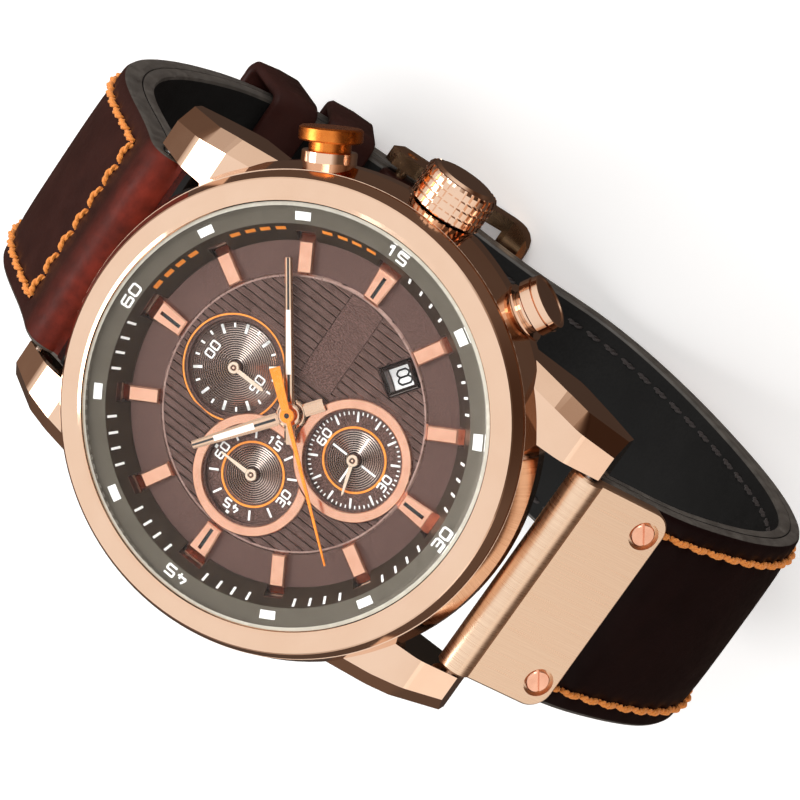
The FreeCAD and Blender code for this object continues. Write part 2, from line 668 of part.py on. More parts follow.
def going_train():
    """Rotor 8 to idler 48 with pinion 10 to seconds wheel 50: 30 to 1.

    The chronograph centre wheel's pinion 8 drives a counter idler of 60 with pinion 8, which drives the
    minute counter wheel of 64: 60 to 1. The split seconds wheel has a stepping motor of its own.
    """
    high = S.train_z + 0.2
    seconds_x, seconds_y = sub_centre("six")
    wheel_on_arbor("seconds_wheel", 50, 0.12, high, S.hand_low_z, x=seconds_x, y=seconds_y)
    idler_turn = meshing_turn(IDLER_LINE, 50, 0.0, 10)
    idler_x, idler_y = IDLER
    rotor_turn = meshing_turn(ROTOR_LINE, 48, 0.0, 8)
    wheel_on_arbor("step_idler_wheel", 48, 0.12, S.train_z - 0.3, S.plate_z - 0.05, x=idler_x, y=idler_y,
                   pinion=(10, 0.12, S.train_z + 0.1, 0.35, idler_turn))
    rotor_x, rotor_y = ROTOR
    core = new_body("rotor_magnet")
    low = S.bridge_z + S.bridge_thick
    revolve(core, [(0, low - 0.45), (0.14, low - 0.45), (0.14, low + 0.25), (0.85, low + 0.25),
                   (0.85, low + 0.7),
                   (0.25, low + 0.7), (0.25, S.plate_z - 0.1), (0, S.plate_z - 0.1)])
    put(core, x=rotor_x, y=rotor_y)
    leaves = gear("rotor_pinion", 8, 0.4, module=0.12, turn=rotor_turn, x=rotor_x, y=rotor_y,
                  z=S.train_z - 0.4)
    rotor = doc.addObject("Part::MultiFuse", "rotor_joined")
    rotor.Shapes = [core, leaves]
    keep(rotor, "rotor")
    # chronograph side
    wheel_on_arbor("chrono_seconds_wheel", 28, 0.16, high, S.chrono_low_z,
                   pinion=(8, 0.1, S.train_z - 0.35, 0.45, 0.0))
    counter_x, counter_y = sub_centre("nine")
    idler_turn = meshing_turn(COUNTER_LINE, 8, 0.0, 60)
    idler_x, idler_y = COUNTER_IDLER
    wheel_on_arbor("counter_idler_wheel", 60, 0.1, S.train_z - 0.25, S.plate_z - 0.05, x=idler_x, y=idler_y,
                   turn=idler_turn, pinion=(8, 0.1, S.train_z + 0.05, 0.45, 0.0))
    wheel_turn = meshing_turn(COUNTER_WHEEL_LINE, 8, 0.0, 64)
    wheel_on_arbor("minute_counter_wheel", 64, 0.1, high, S.hand_low_z, x=counter_x, y=counter_y,
                   turn=wheel_turn)
    split_x, split_y = sub_centre("twelve")
    wheel_on_arbor("split_seconds_wheel", 30, 0.16, high, S.hand_low_z, x=split_x, y=split_y)


def away(start, angle, distance):
    """The point at a distance and angle (degrees) from another."""
    return (start[0] + distance * math.cos(math.radians(angle)),
            start[1] + distance * math.sin(math.radians(angle)))


def triangle_top(start, end, from_start, from_end):
    """The point at given distances from two others, on the left of the line between them."""
    dx, dy = end[0] - start[0], end[1] - start[1]
    span = math.hypot(dx, dy)
    along = (from_start ** 2 - from_end ** 2 + span ** 2) / (2 * span)
    off = math.sqrt(from_start ** 2 - along ** 2)
    return (start[0] + (along * dx - off * dy) / span, start[1] + (along * dy + off * dx) / span)


def line_angle(start, end):
    return math.degrees(math.atan2(end[1] - start[1], end[0] - start[0]))


# Places of the wheels, in the plane of the movement.
CENTRE = (0.0, 0.0)
SIX = (0.0, -SIZES["sub_distance"])
NINE = (-SIZES["sub_distance"], 0.0)
TWELVE = (0.0, SIZES["sub_distance"])
MINUTE_LINE = 45.0
IDLER_LINE = -20.0
IDLER = away(SIX, IDLER_LINE, 0.12 * (50 + 10) / 2)
ROTOR_LINE = 35.0
ROTOR = away(IDLER, ROTOR_LINE, 0.12 * (48 + 8) / 2)
COUNTER_IDLER = triangle_top(NINE, CENTRE, 0.1 * (64 + 8) / 2, 0.1 * (60 + 8) / 2)
COUNTER_LINE = line_angle(CENTRE, COUNTER_IDLER)
COUNTER_WHEEL_LINE = line_angle(COUNTER_IDLER, NINE)
SCREWS = [(9.2, -2.0), (8.7, -8.0), (-2.2, -2.6)]


def plates():
    """Main plate with its bores and minute wheel post, the bridge, its screws and the date disc."""
    body = new_body("main_plate")
    edge = S.movement_radius
    ledge = 9.2
    revolve(body, [(0, S.plate_z), (edge, S.plate_z), (edge, S.date_ledge_z), (ledge, S.date_ledge_z),
                   (ledge, S.plate_top_z), (0, S.plate_top_z)])
    post = sketch(body, "XY", S.plate_top_z)
    draw_circle(post, *away(CENTRE, MINUTE_LINE, SIZES["centre_distance"]), S.post_radius)
    pad(body, post, 0.75)
    bores = sketch(body, "XY", S.plate_z)
    for x, y in (CENTRE, SIX, NINE, TWELVE):
        draw_circle(bores, x, y, S.arbor_radius + S.running_gap)
    for x, y in SCREWS:
        draw_circle(bores, x, y, S.screw_radius)
    pocket(body, bores)
    stem = sketch(body, "YZ", 10.0)
    draw_circle(stem, 0, S.stem_z, S.tube_bore)
    pocket(body, stem, 6.4)
    keep(body, "main_plate")

    body = new_body("train_bridge")
    flat = sketch(body, "XY", S.bridge_z)
    draw_outline(flat, [(-2.8, 2.2), (1.6, 2.2), (3.0, 0.2), (9.5, -0.4), (11.0, -2.5), (10.4, -6.5),
                        (8.6, -9.2),
                        (4.0, -11.4), (-2.8, -11.8)])
    for x, y in (CENTRE, SIX, IDLER, ROTOR):
        draw_circle(flat, x, y, 0.2)
    for x, y in SCREWS:
        draw_circle(flat, x, y, S.screw_radius)
    pad(body, flat, S.bridge_thick)
    keep(body, "train_bridge")

    screws = []
    for number, (x, y) in enumerate(SCREWS):
        screw = new_body("bridge_screw_%d" % number)
        revolve(screw, [(0, S.bridge_z - 0.4), (0.7, S.bridge_z - 0.4), (0.7, S.bridge_z),
                        (S.screw_radius, S.bridge_z), (S.screw_radius, S.plate_z + 0.8),
                        (0, S.plate_z + 0.8)])
        slot = sketch(screw, "XY", S.bridge_z - 0.4)
        draw_outline(slot, box_points(-0.8, 0.8, -0.1, 0.1))
        pocket(screw, slot, 0.3)
        put(screw, x=x, y=y)
        screws.append(screw)
    group("bridge_screws", screws)
    turned_piece("date_disc", washer(9.4, 12.6, S.date_ledge_z + 0.05, S.date_ledge_z + 0.3))

    body = new_body("movement_holder_blank")
    revolve(body, washer(S.movement_radius, S.cavity_radius - 0.1, S.bridge_z - 0.3,
                         S.dial_seat_z - S.dial_thick))
    channel = sketch(body, "YZ", 14.5)
    draw_circle(channel, 0, S.stem_z, S.stem_radius + 0.3)
    pocket(body, channel, 5.0)
    blank = doc.addObject("Part::Cut", "movement_holder_cut")
    drills = []
    for sign in (1, -1):
        drill = doc.addObject("Part::Cylinder", "push_piece_channel")
        bind(drill, "Radius", S.shaft_radius + 0.3)
        bind(drill, "Height", 5.0)
        turn = FreeCAD.Rotation(FreeCAD.Vector(0, 0, 1), SIZES["pusher_angle"] * sign)
        lay = FreeCAD.Rotation(FreeCAD.Vector(0, 1, 0), 90)
        x, y = away(CENTRE, SIZES["pusher_angle"] * sign, 12.0)
        put(drill, x=x, y=y, z=S.stem_z, tilt=turn * lay)
        drills.append(drill)
    both = doc.addObject("Part::MultiFuse", "push_piece_channels")
    both.Shapes = drills
    blank.Base = body
    blank.Tool = both
    keep(blank, "movement_holder")


def electric_parts():
    """Battery with its clamp, the motor coil and stator, and the circuit board."""
    turned_piece("battery", [(0, 0), (4.0, 0), (4.1, 0.25), (4.75, 0.35), (4.75, 1.9), (0, 1.9)],
                 x=6.2, y=5.2, z=S.bridge_z)
    flat_piece("battery_clamp", box_points(-5.6, 5.6, -0.9, 0.9), 0.2, x=6.2, y=5.2, z=S.bridge_z - 0.25,
               turn=-50.0)
    flat_piece("circuit_board", [(-11.5, -2.5), (-2.9, -2.5), (-2.9, 3.4), (0.9, 4.6), (1.1, 11.5),
                                 (-5.5, 11.3),
                                 (-10.2, 7.0)], 0.3, offset=S.bridge_z + 0.25,
               circles=[(x, y, 0.2) for x, y in (NINE, TWELVE, COUNTER_IDLER)])
    flat_piece("stator", [(-5.5, -9.9), (-4.2, -9.0), (1.8, -9.3), (5.0, -8.3), (4.6, -6.1),
                          (ROTOR[0], -4.6),
                          (7.7, -6.1), (7.4, -8.2), (4.6, -10.6), (-0.5, -11.6), (-4.8, -10.9)], 0.35,
               offset=S.bridge_z + S.bridge_thick + 0.3, circles=[(ROTOR[0], ROTOR[1], 1.05)])
    turned_piece("coil", [(-3.6, 0), (-3.6, 0.7), (-3.2, 0.7), (-3.2, 0.95), (2.6, 0.95), (2.6, 0.7),
                          (3.0, 0.7),
                          (3.0, 0)], "H_Axis", x=-7.6, y=-6.4, z=S.bridge_z + 1.4, turn=132.5)


# ---------------------------------------------------------------- crown and push-pieces
def crown_parts():
    body = new_body("crown")
    start, end = S.crown_start, S.crown_end
    outer = S.crown_radius
    low = outer - 0.3
    outline = [(start, S.crown_bore), (start, low - 0.2), (start + 0.3, outer - 0.15)]
    rows = 4
    row = (SIZES["crown_end"] - SIZES["crown_start"] - 0.6) / rows
    for number in range(rows):
        near = start + 0.3 + row * number
        outline += [(near, outer), (near + row - 0.2, outer)]
        if number < rows - 1:
            outline += [(near + row - 0.2, low), (near + row, low)]
    outline += [(end - 0.25, outer - 0.15), (end - 0.25, outer - 0.6), (end, outer - 0.85), (end, 0),
                (S.crown_floor, 0), (S.crown_floor, S.crown_bore)]
    revolve(body, outline, "H_Axis")
    flat = sketch(body, "YZ")
    draw_outline(flat, box_points(-0.13, 0.13, low, outer + 0.5))
    slot = body.newObject("PartDesign::Pocket", "crown_slot")
    slot.Profile = flat
    slot.Type = "ThroughAll"
    slot.Midplane = True
    doc.recompute()
    ring = body.newObject("PartDesign::PolarPattern", "crown_slots")
    ring.Originals = [slot]
    ring.Axis = (flat, ["N_Axis"])
    ring.Angle = 360
    ring.Occurrences = 30
    body.Tip = ring
    put(body, z=S.stem_z)
    keep(body, "crown")
    turned_piece("winding_stem", [(8.0, 0), (8.0, S.stem_radius - 0.1), (8.4, S.stem_radius),
                                  (9.6, S.stem_radius),
                                  (9.6, S.stem_radius - 0.25), (10.4, S.stem_radius - 0.25),
                                  (10.4, S.stem_radius),
                                  (S.crown_floor, S.stem_radius), (S.crown_floor, 0)], "H_Axis", z=S.stem_z)
    turned_piece("crown_tube", washer(S.tube_start, S.tube_end, S.tube_bore, S.tube_radius), "H_Axis",
                 z=S.stem_z)
    turned_piece("crown_gasket", washer(22.65, 23.15, S.tube_radius + S.running_gap,
                                        S.crown_bore - S.running_gap),
                 "H_Axis", z=S.stem_z)


def coil_spring(label, start, end, middle_radius, wire, turns, turn):
    """A compression spring along the radial direction at the given angle."""
    length = end - start - 2 * wire
    helix = doc.addObject("Part::Helix", label + "_line")
    bind(helix, "Radius", middle_radius)
    bind(helix, "Height", length)
    bind(helix, "Pitch", length / turns)
    helix.SegmentLength = 0.5
    section = doc.addObject("Part::Circle", label + "_section")
    bind(section, "Radius", wire)
    section.Placement = FreeCAD.Placement(FreeCAD.Vector(middle_radius, 0, 0),
                                          FreeCAD.Rotation(FreeCAD.Vector(1, 0, 0), 90))
    sweep = doc.addObject("Part::Sweep", label + "_coil")
    sweep.Sections = [section]
    sweep.Spine = (helix, [])
    sweep.Solid = True
    sweep.Frenet = True
    around = FreeCAD.Rotation(FreeCAD.Vector(0, 0, 1), turn)
    lay = FreeCAD.Rotation(FreeCAD.Vector(0, 1, 0), 90)
    x, y = away(CENTRE, turn, start + wire)
    put(sweep, x=x, y=y, z=S.stem_z, tilt=around * lay)
    return keep(sweep, label)


def push_pieces():
    gap = S.pusher_gap
    sleeve = S.collar_radius - 0.9
    collar_bore = S.neck_radius + gap
    shaft_bore = S.shaft_radius + gap
    angle = SIZES["pusher_angle"]
    floor = 21.7
    turned_piece("upper_push_collar", [
        (16.5, shaft_bore), (16.5, sleeve), (S.collar_start, sleeve), (S.collar_start, S.collar_radius),
        (S.collar_end - 0.12, S.collar_radius), (S.collar_end, S.collar_radius - 0.12),
        (S.collar_end, collar_bore),
        (floor, collar_bore), (floor, shaft_bore)], "H_Axis", z=S.stem_z, turn=angle)
    turned_piece("upper_push_piece", [
        (14.2, 0), (14.2, S.shaft_radius), (22.7, S.shaft_radius), (22.7, S.neck_radius),
        (S.cap_start, S.neck_radius), (S.cap_start, S.cap_radius - 0.15),
        (S.cap_start + 0.15, S.cap_radius),
        (S.cap_end - 0.15, S.cap_radius), (S.cap_end, S.cap_radius - 0.2), (S.cap_end, 0)],
        "H_Axis", z=S.stem_z, turn=angle)
    lower_end = 22.35
    turned_piece("lower_push_collar", [
        (16.5, shaft_bore), (16.5, sleeve), (S.collar_start, sleeve), (S.collar_start, S.barrel_radius),
        (lower_end - 0.3, S.barrel_radius), (lower_end - 0.2, S.barrel_radius - 0.15),
        (lower_end, S.barrel_radius - 0.15),
        (lower_end, collar_bore), (21.0, collar_bore), (21.0, shaft_bore)], "H_Axis", z=S.stem_z,
        turn=-angle)
    turned_piece("lower_push_piece", [
        (14.2, 0), (14.2, S.shaft_radius), (22.1, S.shaft_radius), (22.1, S.neck_radius),
        (22.95, S.neck_radius),
        (22.95, 2.4), (23.1, 2.6), (24.05, 2.6), (24.1, 2.35), (24.2, 2.35), (24.25, 2.55), (24.75, 2.5),
        (24.8, 2.4), (24.8, 2.2), (24.7, 2.1), (24.7, 0)], "H_Axis", z=S.stem_z, turn=-angle)
    coil_spring("upper_push_spring", floor, 22.7, 1.2, 0.16, 2, angle)
    coil_spring("lower_push_spring", 21.0, 22.1, 1.2, 0.16, 2, -angle)


# ---------------------------------------------------------------- strap, end plate and buckle
def spring_bar(label, sign):
    """The tube of a lug spring bar with its two tips drawn as one turned piece."""
    half, tip = S.lug_inner - 0.3, S.lug_inner + S.lug_hole_depth - 0.2
    return turned_piece(label, [(-tip, 0), (-tip, S.tip_radius), (-half, S.tip_radius),
                                (-half, S.bar_radius),
                                (half, S.bar_radius), (half, S.tip_radius), (tip, S.tip_radius), (tip, 0)],
                        "H_Axis", y=S.bar_y * sign, z=S.bar_z)


def end_plate():
    """The metal plate at 6 o'clock: a roll round the spring bar and a flat plate with two sunk screws."""
    body = new_body("end_plate")
    slope = FreeCAD.Rotation(FreeCAD.Vector(1, 0, 0), SIZES["plate_slope"])
    flat = sketch(body, "XY", S.plate_rise - S.plate_thick)
    draw_outline(flat, box_points(-S.plate_half, S.plate_half, -S.plate_length, -0.3))
    block = pad(body, flat, S.plate_thick)

    def corner(edge):
        middle = edge.CenterOfMass
        upright = abs(edge.tangentAt(edge.FirstParameter).z) > 0.9
        return upright and middle.y < -9
    rounded = fillet_edges(body, block, corner, 2.0)

    def rim(edge):
        middle = edge.CenterOfMass
        return middle.z > SIZES["plate_rise"] - 0.01 and (middle.y < -2.0)
    chamfer_edges(body, rounded, rim, 0.15)
    revolve(body, [(-S.plate_half, 0), (-S.plate_half, S.roll_radius - 0.2),
                   (-S.plate_half + 0.2, S.roll_radius),
                   (S.plate_half - 0.2, S.roll_radius), (S.plate_half, S.roll_radius - 0.2),
                   (S.plate_half, 0)],
            "H_Axis", name="roll")
    bore = sketch(body, "YZ")
    draw_circle(bore, 0, 0, S.bar_radius + S.running_gap)
    pocket(body, bore)
    sunk = sketch(body, "XY", S.plate_rise)
    through = sketch(body, "XY", S.plate_rise)
    for sign in (1, -1):
        draw_circle(sunk, S.screw_x * sign, -S.screw_along, 1.4)
        draw_circle(through, S.screw_x * sign, -S.screw_along, 0.5)
    pocket(body, sunk, 1.4)
    pocket(body, through)
    put(body, y=-S.bar_y, z=S.bar_z, tilt=slope)
    keep(body, "end_plate")

    screws = []
    for sign in (1, -1):
        screw = new_body("end_plate_screw_%d" % (sign + 1))
        top = S.plate_rise - 0.1
        revolve(screw, [(0, -2.0), (0.5, -2.0), (0.5, S.plate_rise - 0.7), (1.1, S.plate_rise - 0.7),
                        (1.1, top - 0.1), (1.0, top), (0, top)])
        slot = sketch(screw, "XY", top)
        draw_outline(slot, box_points(-1.2, 1.2, -0.13, 0.13))
        pocket(screw, slot, 0.5)
        spot = slope.multVec(FreeCAD.Vector(SIZES["screw_x"] * sign, -SIZES["screw_along"], 0))
        put(screw, x=spot.x, y=-S.bar_y + spot.y, z=S.bar_z + spot.z,
            tilt=slope * FreeCAD.Rotation(FreeCAD.Vector(0, 0, 1), 35.0))
        screws.append(screw)
    group("end_plate_screws", screws)


def bend_point(angle, out=0.0):
    """A point on the round stretch of the strap, out from the short half's outer face (y, z)."""
    radius = SIZES["bend_radius"] + out
    return (SIZES["bend_y"] + radius * math.cos(math.radians(angle)),
            SIZES["bend_z"] + radius * math.sin(math.radians(angle)))


# Outer faces of the two strap halves in side view (y, z), from the case to the free end.
SHORT_OUTER = [(23.9, 6.7), (25.1, 6.35), (26.1, 5.4), (28.5, 2.0), (32.0, -2.3), (35.0, -6.6),
               (37.0, -11.8),
               (37.7, -18.2)]
SHORT_OUTER += [bend_point(angle) for angle in (-14, -26, -38, -50, -62, -74, -84)]
TAIL_LIFT = SIZES["tail_gap"] + SIZES["tail_thick"]
LONG_OUTER = [(-25.1, 2.7), (-28.3, -0.05), (-31.5, -3.0), (-35.0, -8.3), (-37.8, -14.6), (-39.1, -21.5),
              (-38.2, -28.6), (-35.2, -34.8), (-30.6, -40.2), (-24.6, -45.0), (-17.6, -48.8),
              (-10.5, -50.85),
              (-5.0, -50.6), (-0.5, -49.2), (3.5, -48.6), (7.5, -48.5), (12.0, -49.0)]
LONG_OUTER += [bend_point(angle, TAIL_LIFT) for angle in (-82, -72, -62, -52, -42, -34)]
LOOP_MIDDLE = FreeCAD.Vector(0, 0, -22)


def offset_points(outline, depth_start, depth_end, count=40):
    """Points at a depth below a curve through the outline, measured towards the loop's middle."""
    curve = Part.BSplineCurve()
    curve.interpolate([FreeCAD.Vector(0, y, z) for y, z in outline])
    first, last = curve.FirstParameter, curve.LastParameter
    points = []
    for i in range(count + 1):
        share = i / count
        spot = first + (last - first) * share
        place, along = curve.value(spot), curve.tangent(spot)[0]
        inward = FreeCAD.Vector(0, -along.z, along.y)
        if inward.dot(LOOP_MIDDLE - place) < 0:
            inward = -inward
        points.append(place + inward * (depth_start + (depth_end - depth_start) * share))
    return points


def layer_shape(outline, top, under):
    """One layer of a strap half: between two depths, each given at the case end and at the free end."""
    edges = []
    lines = [offset_points(outline, *top), offset_points(outline, *under)]
    for points in lines:
        curve = Part.BSplineCurve()
        curve.interpolate(points)
        edges.append(curve.toShape())
    for end in (0, -1):
        edges.append(Part.makeLine(lines[0][end], lines[1][end]))
    face = Part.Face(Part.Wire(Part.__sortEdges__(edges)))
    wide = 2 * SIZES["strap_half"]
    solid = face.extrude(FreeCAD.Vector(wide, 0, 0))
    solid.translate(FreeCAD.Vector(-wide / 2, 0, 0))
    top_half, low_half = SIZES["strap_half"], SIZES["tail_half"]
    front = [(-top_half, 12), (top_half, 12), (top_half, -16), (low_half, -44), (low_half, -60),
             (-low_half, -60),
             (-low_half, -44), (-top_half, -16), (-top_half, 12)]
    taper = Part.Face(Part.makePolygon([FreeCAD.Vector(x, -60, z) for x, z in front]))
    return solid.common(taper.extrude(FreeCAD.Vector(0, 120, 0)))


def cross_cylinder(radius, half, y, z):
    return Part.makeCylinder(radius, 2 * half, FreeCAD.Vector(-half, y, z), FreeCAD.Vector(1, 0, 0))


def soft_piece(label, shape):
    piece = doc.addObject("Part::Feature", label + "_shape")
    piece.Shape = shape
    return keep(piece, label)


def straps():
    """The four leather layers, plain: the short half carries the buckle and the long half the end plate."""
    leather, lining = SIZES["leather"], SIZES["lining"]
    total = leather + lining
    bar_y, bar_z, bar_hole = SIZES["bar_y"], SIZES["bar_z"], SIZES["bar_radius"] + SIZES["running_gap"]
    hinge = (SIZES["hinge_y"], SIZES["hinge_z"])
    hinge_hole = SIZES["hinge_radius"] + 0.08
    short = layer_shape(SHORT_OUTER, (0.0, 0.0), (3.0, 1.2))
    short = short.fuse(cross_cylinder(2.3, SIZES["strap_half"], bar_y, bar_z))
    short = short.fuse(cross_cylinder(1.95, SIZES["tail_half"], *hinge))
    short = short.cut(cross_cylinder(bar_hole, 15, bar_y, bar_z)).cut(cross_cylinder(hinge_hole, 15,
                                                                                     *hinge))
    short = short.cut(Part.makeCylinder(SIZES["case_radius"] + 0.15, 30, FreeCAD.Vector(0, 0, -10)))
    slot = Part.makeBox(2.6, 6.0, 8.0, FreeCAD.Vector(-1.3, hinge[0] - 3.0, hinge[1] - 4.0))
    soft_piece("strap_short_leather", short.cut(slot))
    inner = layer_shape(SHORT_OUTER, (3.0, 1.2), (4.2, 2.4))
    inner = inner.cut(cross_cylinder(2.32, 15, bar_y, bar_z)).cut(cross_cylinder(1.97, 15, *hinge))
    soft_piece("strap_short_lining", inner.cut(slot))
    outer = layer_shape(LONG_OUTER, (0.0, 0.0), (leather, 1.3))
    under = layer_shape(LONG_OUTER, (leather, 1.3), (total, SIZES["tail_thick"]))
    tongue_hole = Part.makeBox(2.3, 7.5, 8.0, FreeCAD.Vector(-1.15, 8.0, -52.0))
    slope = FreeCAD.Rotation(FreeCAD.Vector(1, 0, 0), SIZES["plate_slope"])
    for sign in (1, -1):
        spot = slope.multVec(FreeCAD.Vector(SIZES["screw_x"] * sign, -SIZES["screw_along"], -6.0))
        base = FreeCAD.Vector(0, -bar_y, bar_z) + spot
        drill = Part.makeCylinder(0.52, 12.0, base, slope.multVec(FreeCAD.Vector(0, 0, 1)))
        outer, under = outer.cut(drill), under.cut(drill)
    soft_piece("strap_long_leather", outer.cut(tongue_hole))
    soft_piece("strap_long_lining", under.cut(tongue_hole))


def keeper(label, angle):
    """A square loop round both straps, lying across the round stretch at the given angle."""
    body = new_body(label)
    half = S.tail_half + 0.45
    inside_low, inside_high = -3.2, SIZES["tail_gap"] + SIZES["tail_thick"] + 0.3
    thick = S.keeper_thick
    flat = sketch(body, "XY")
    draw_outline(flat, box_points(inside_low - thick, inside_high + thick, -half - thick, half + thick))
    draw_outline(flat, box_points(inside_low, inside_high, -half, half))
    pad(body, flat, S.keeper_wide, middle=True)
    y, z = bend_point(angle)
    outward = FreeCAD.Vector(0, math.cos(math.radians(angle)), math.sin(math.radians(angle)))
    along = FreeCAD.Vector(1, 0, 0).cross(outward)
    tilt = FreeCAD.Rotation(outward, FreeCAD.Vector(1, 0, 0), along, "ZXY")
    put(body, y=y, z=z, tilt=tilt)
    return keep(body, label)


def buckle():
    """The frame with its free bar, the hinge bar and the tongue."""
    body = new_body("buckle_frame")
    side = sketch(body, "YZ")
    y0, base = S.free_bar_y, S.base_z
    bar_end = y0 + S.free_bar_wide
    draw_outline(side, [(y0 + 0.4, base), (bar_end, base), (S.hinge_y + 1.6, S.hinge_z - 1.5),
                        (S.hinge_y + 2.0, S.hinge_z + 1.0), (S.hinge_y + 1.0, S.hinge_z + 1.7),
                        (S.hinge_y - 1.5, S.hinge_z + 1.2), (bar_end - 0.5, base + S.free_bar_thick),
                        (y0 + 0.5, base + S.free_bar_thick), (y0, base + 1.2), (y0, base + 0.4)])
    pad(body, side, S.buckle_half * 2, middle=True)
    window = sketch(body, "XY")
    draw_outline(window, box_points(-S.buckle_inside, S.buckle_inside, bar_end, S.hinge_y + 5.0))
    pocket(body, window)
    ends = sketch(body, "XY")
    round_off = SIZES["buckle_corner"]
    for side_sign in (-1, 1):
        edge = SIZES["buckle_half"] * side_sign
        corner = [(edge + side_sign, SIZES["free_bar_y"] - 1),
                  (edge + side_sign, SIZES["free_bar_y"] + round_off)]
        for step in range(6):
            angle = math.radians(18 * step)
            corner.append((edge - side_sign * round_off * (1 - math.cos(angle)),
                           SIZES["free_bar_y"] + round_off * (1 - math.sin(angle))))
        corner.append((corner[-1][0], SIZES["free_bar_y"] - 1))
        draw_outline(ends, corner)
    pocket(body, ends)
    notch = sketch(body, "XY", base)
    draw_outline(notch, box_points(-S.tongue_half - 0.2, S.tongue_half + 0.2, y0 - 1.0, bar_end + 1.0))
    pocket(body, notch, 2.1)
    bore = sketch(body, "YZ")
    draw_circle(bore, S.hinge_y, S.hinge_z, S.hinge_radius)
    pocket(body, bore)
    keep(body, "buckle_frame")
    tip = S.buckle_half - 0.3
    turned_piece("buckle_hinge_bar", [(-tip, 0), (-tip, S.hinge_radius), (tip, S.hinge_radius), (tip, 0)],
                 "H_Axis",
                 y=S.hinge_y, z=S.hinge_z)
    body = new_body("buckle_tongue")
    side = sketch(body, "YZ")
    draw_outline(side, [(S.hinge_y - 0.5, S.hinge_z - 1.05), (bar_end + 0.4, base + 0.02),
                        (y0, base + 0.02),
                        (y0 - 0.1, base + 0.95), (bar_end + 0.3, base + 0.95),
                        (S.hinge_y - 1.0, S.hinge_z - 0.2)])
    pad(body, side, S.tongue_half * 2, middle=True)
    ring = sketch(body, "YZ")
    draw_circle(ring, S.hinge_y, S.hinge_z, 1.15)
    pad(body, ring, S.tongue_half * 2, middle=True)
    bore = sketch(body, "YZ")
    draw_circle(bore, S.hinge_y, S.hinge_z, S.hinge_radius + S.running_gap)
    pocket(body, bore)
    keep(body, "buckle_tongue")


def strap_parts():
    spring_bar("spring_bar_12", 1)
    spring_bar("spring_bar_6", -1)
    end_plate()
    straps()
    keeper("fixed_keeper", -65.0)
    keeper("sliding_keeper", -44.0)
    buckle()


def finish():
    """Check every object and piece, then write each piece to its own file."""
    doc.recompute()
    for thing in doc.Objects:
        if "Invalid" in thing.State or "Error" in thing.State:
            raise RuntimeError("object failed: %s %s" % (thing.Label, thing.State))
    os.makedirs("parts", exist_ok=True)
    for piece in nodes:
        if piece.Shape.isNull() or not piece.Shape.isValid():
            raise RuntimeError("piece has no valid shape: " + piece.Label)
        piece.Shape.exportStep("parts/" + piece.Label + ".step")
        print("%-26s %8.2f mm3  %d solid" % (piece.Label, piece.Shape.Volume, len(piece.Shape.Solids)))


case_parts()
dial_parts()
hands()
motion_works()
going_train()
plates()
electric_parts()
crown_parts()
push_pieces()
strap_parts()
finish()
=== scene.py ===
"""A rose-gold chronograph wristwatch with its strap buckled, lit as a studio still.

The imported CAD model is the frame. This script gives every CAD node a material, and adds what CAD leaves
out: the stitched leather strap, the stamped dial, its printing, the lume and the detailed hands.
Lengths are millimetres here and become metres when a piece is made.
"""

import math

import bmesh
import bpy
import numpy as np
from mathutils import Matrix, Vector


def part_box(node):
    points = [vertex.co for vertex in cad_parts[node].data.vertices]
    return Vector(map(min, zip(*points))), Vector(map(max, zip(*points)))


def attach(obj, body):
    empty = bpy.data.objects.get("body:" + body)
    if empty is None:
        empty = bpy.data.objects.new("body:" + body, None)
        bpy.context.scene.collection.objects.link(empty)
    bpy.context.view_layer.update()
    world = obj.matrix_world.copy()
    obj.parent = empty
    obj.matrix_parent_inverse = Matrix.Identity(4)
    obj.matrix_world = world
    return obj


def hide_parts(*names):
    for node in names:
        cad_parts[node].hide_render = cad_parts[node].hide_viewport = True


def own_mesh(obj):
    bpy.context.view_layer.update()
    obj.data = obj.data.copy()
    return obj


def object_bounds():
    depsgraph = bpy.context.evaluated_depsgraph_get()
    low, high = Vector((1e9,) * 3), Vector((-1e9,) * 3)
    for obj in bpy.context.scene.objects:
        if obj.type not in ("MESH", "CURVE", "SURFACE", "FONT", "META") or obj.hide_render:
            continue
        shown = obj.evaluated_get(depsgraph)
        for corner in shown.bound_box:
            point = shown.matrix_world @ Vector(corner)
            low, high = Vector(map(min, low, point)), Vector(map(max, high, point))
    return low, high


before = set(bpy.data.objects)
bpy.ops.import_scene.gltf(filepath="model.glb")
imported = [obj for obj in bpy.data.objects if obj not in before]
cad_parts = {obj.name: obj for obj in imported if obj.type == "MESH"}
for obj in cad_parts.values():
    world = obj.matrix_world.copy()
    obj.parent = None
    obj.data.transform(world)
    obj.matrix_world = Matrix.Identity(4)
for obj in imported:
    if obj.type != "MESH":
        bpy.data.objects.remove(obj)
CAD_LOW, CAD_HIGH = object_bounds()
MM = 0.001


def corner(node, which):
    """One corner of a CAD node's box in millimetres: which is 0 for the lowest, 1 for the highest."""
    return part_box(node)[which] / MM


# Places worked out from the frame
DIAL_TOP = corner("dial", 1).z
RING_TOP = corner("chapter_ring", 1).z
RING_LIP_R, RING_LIP_Z = 17.0, 11.2
RING_INNER_R, RING_OUTER_R = 15.4, 18.95
SUB_FLOOR, SUB_DISTANCE = DIAL_TOP - 0.4, 6.8
SUB_CENTRES = {"twelve": (0.0, SUB_DISTANCE), "nine": (-SUB_DISTANCE, 0.0), "six": (0.0, -SUB_DISTANCE)}
MARKER_TOP = corner("hour_markers", 1).z
DATE_RADIUS, DATE_ANGLE = 10.5, -35.0


# ---------------------------------------------------------------- shapes
def polar(radius, clock, z=0.0):
    """A point at a radius and an angle in degrees clockwise from 12 o'clock."""
    a = math.radians(clock)
    return Vector((radius * math.sin(a), radius * math.cos(a), z))


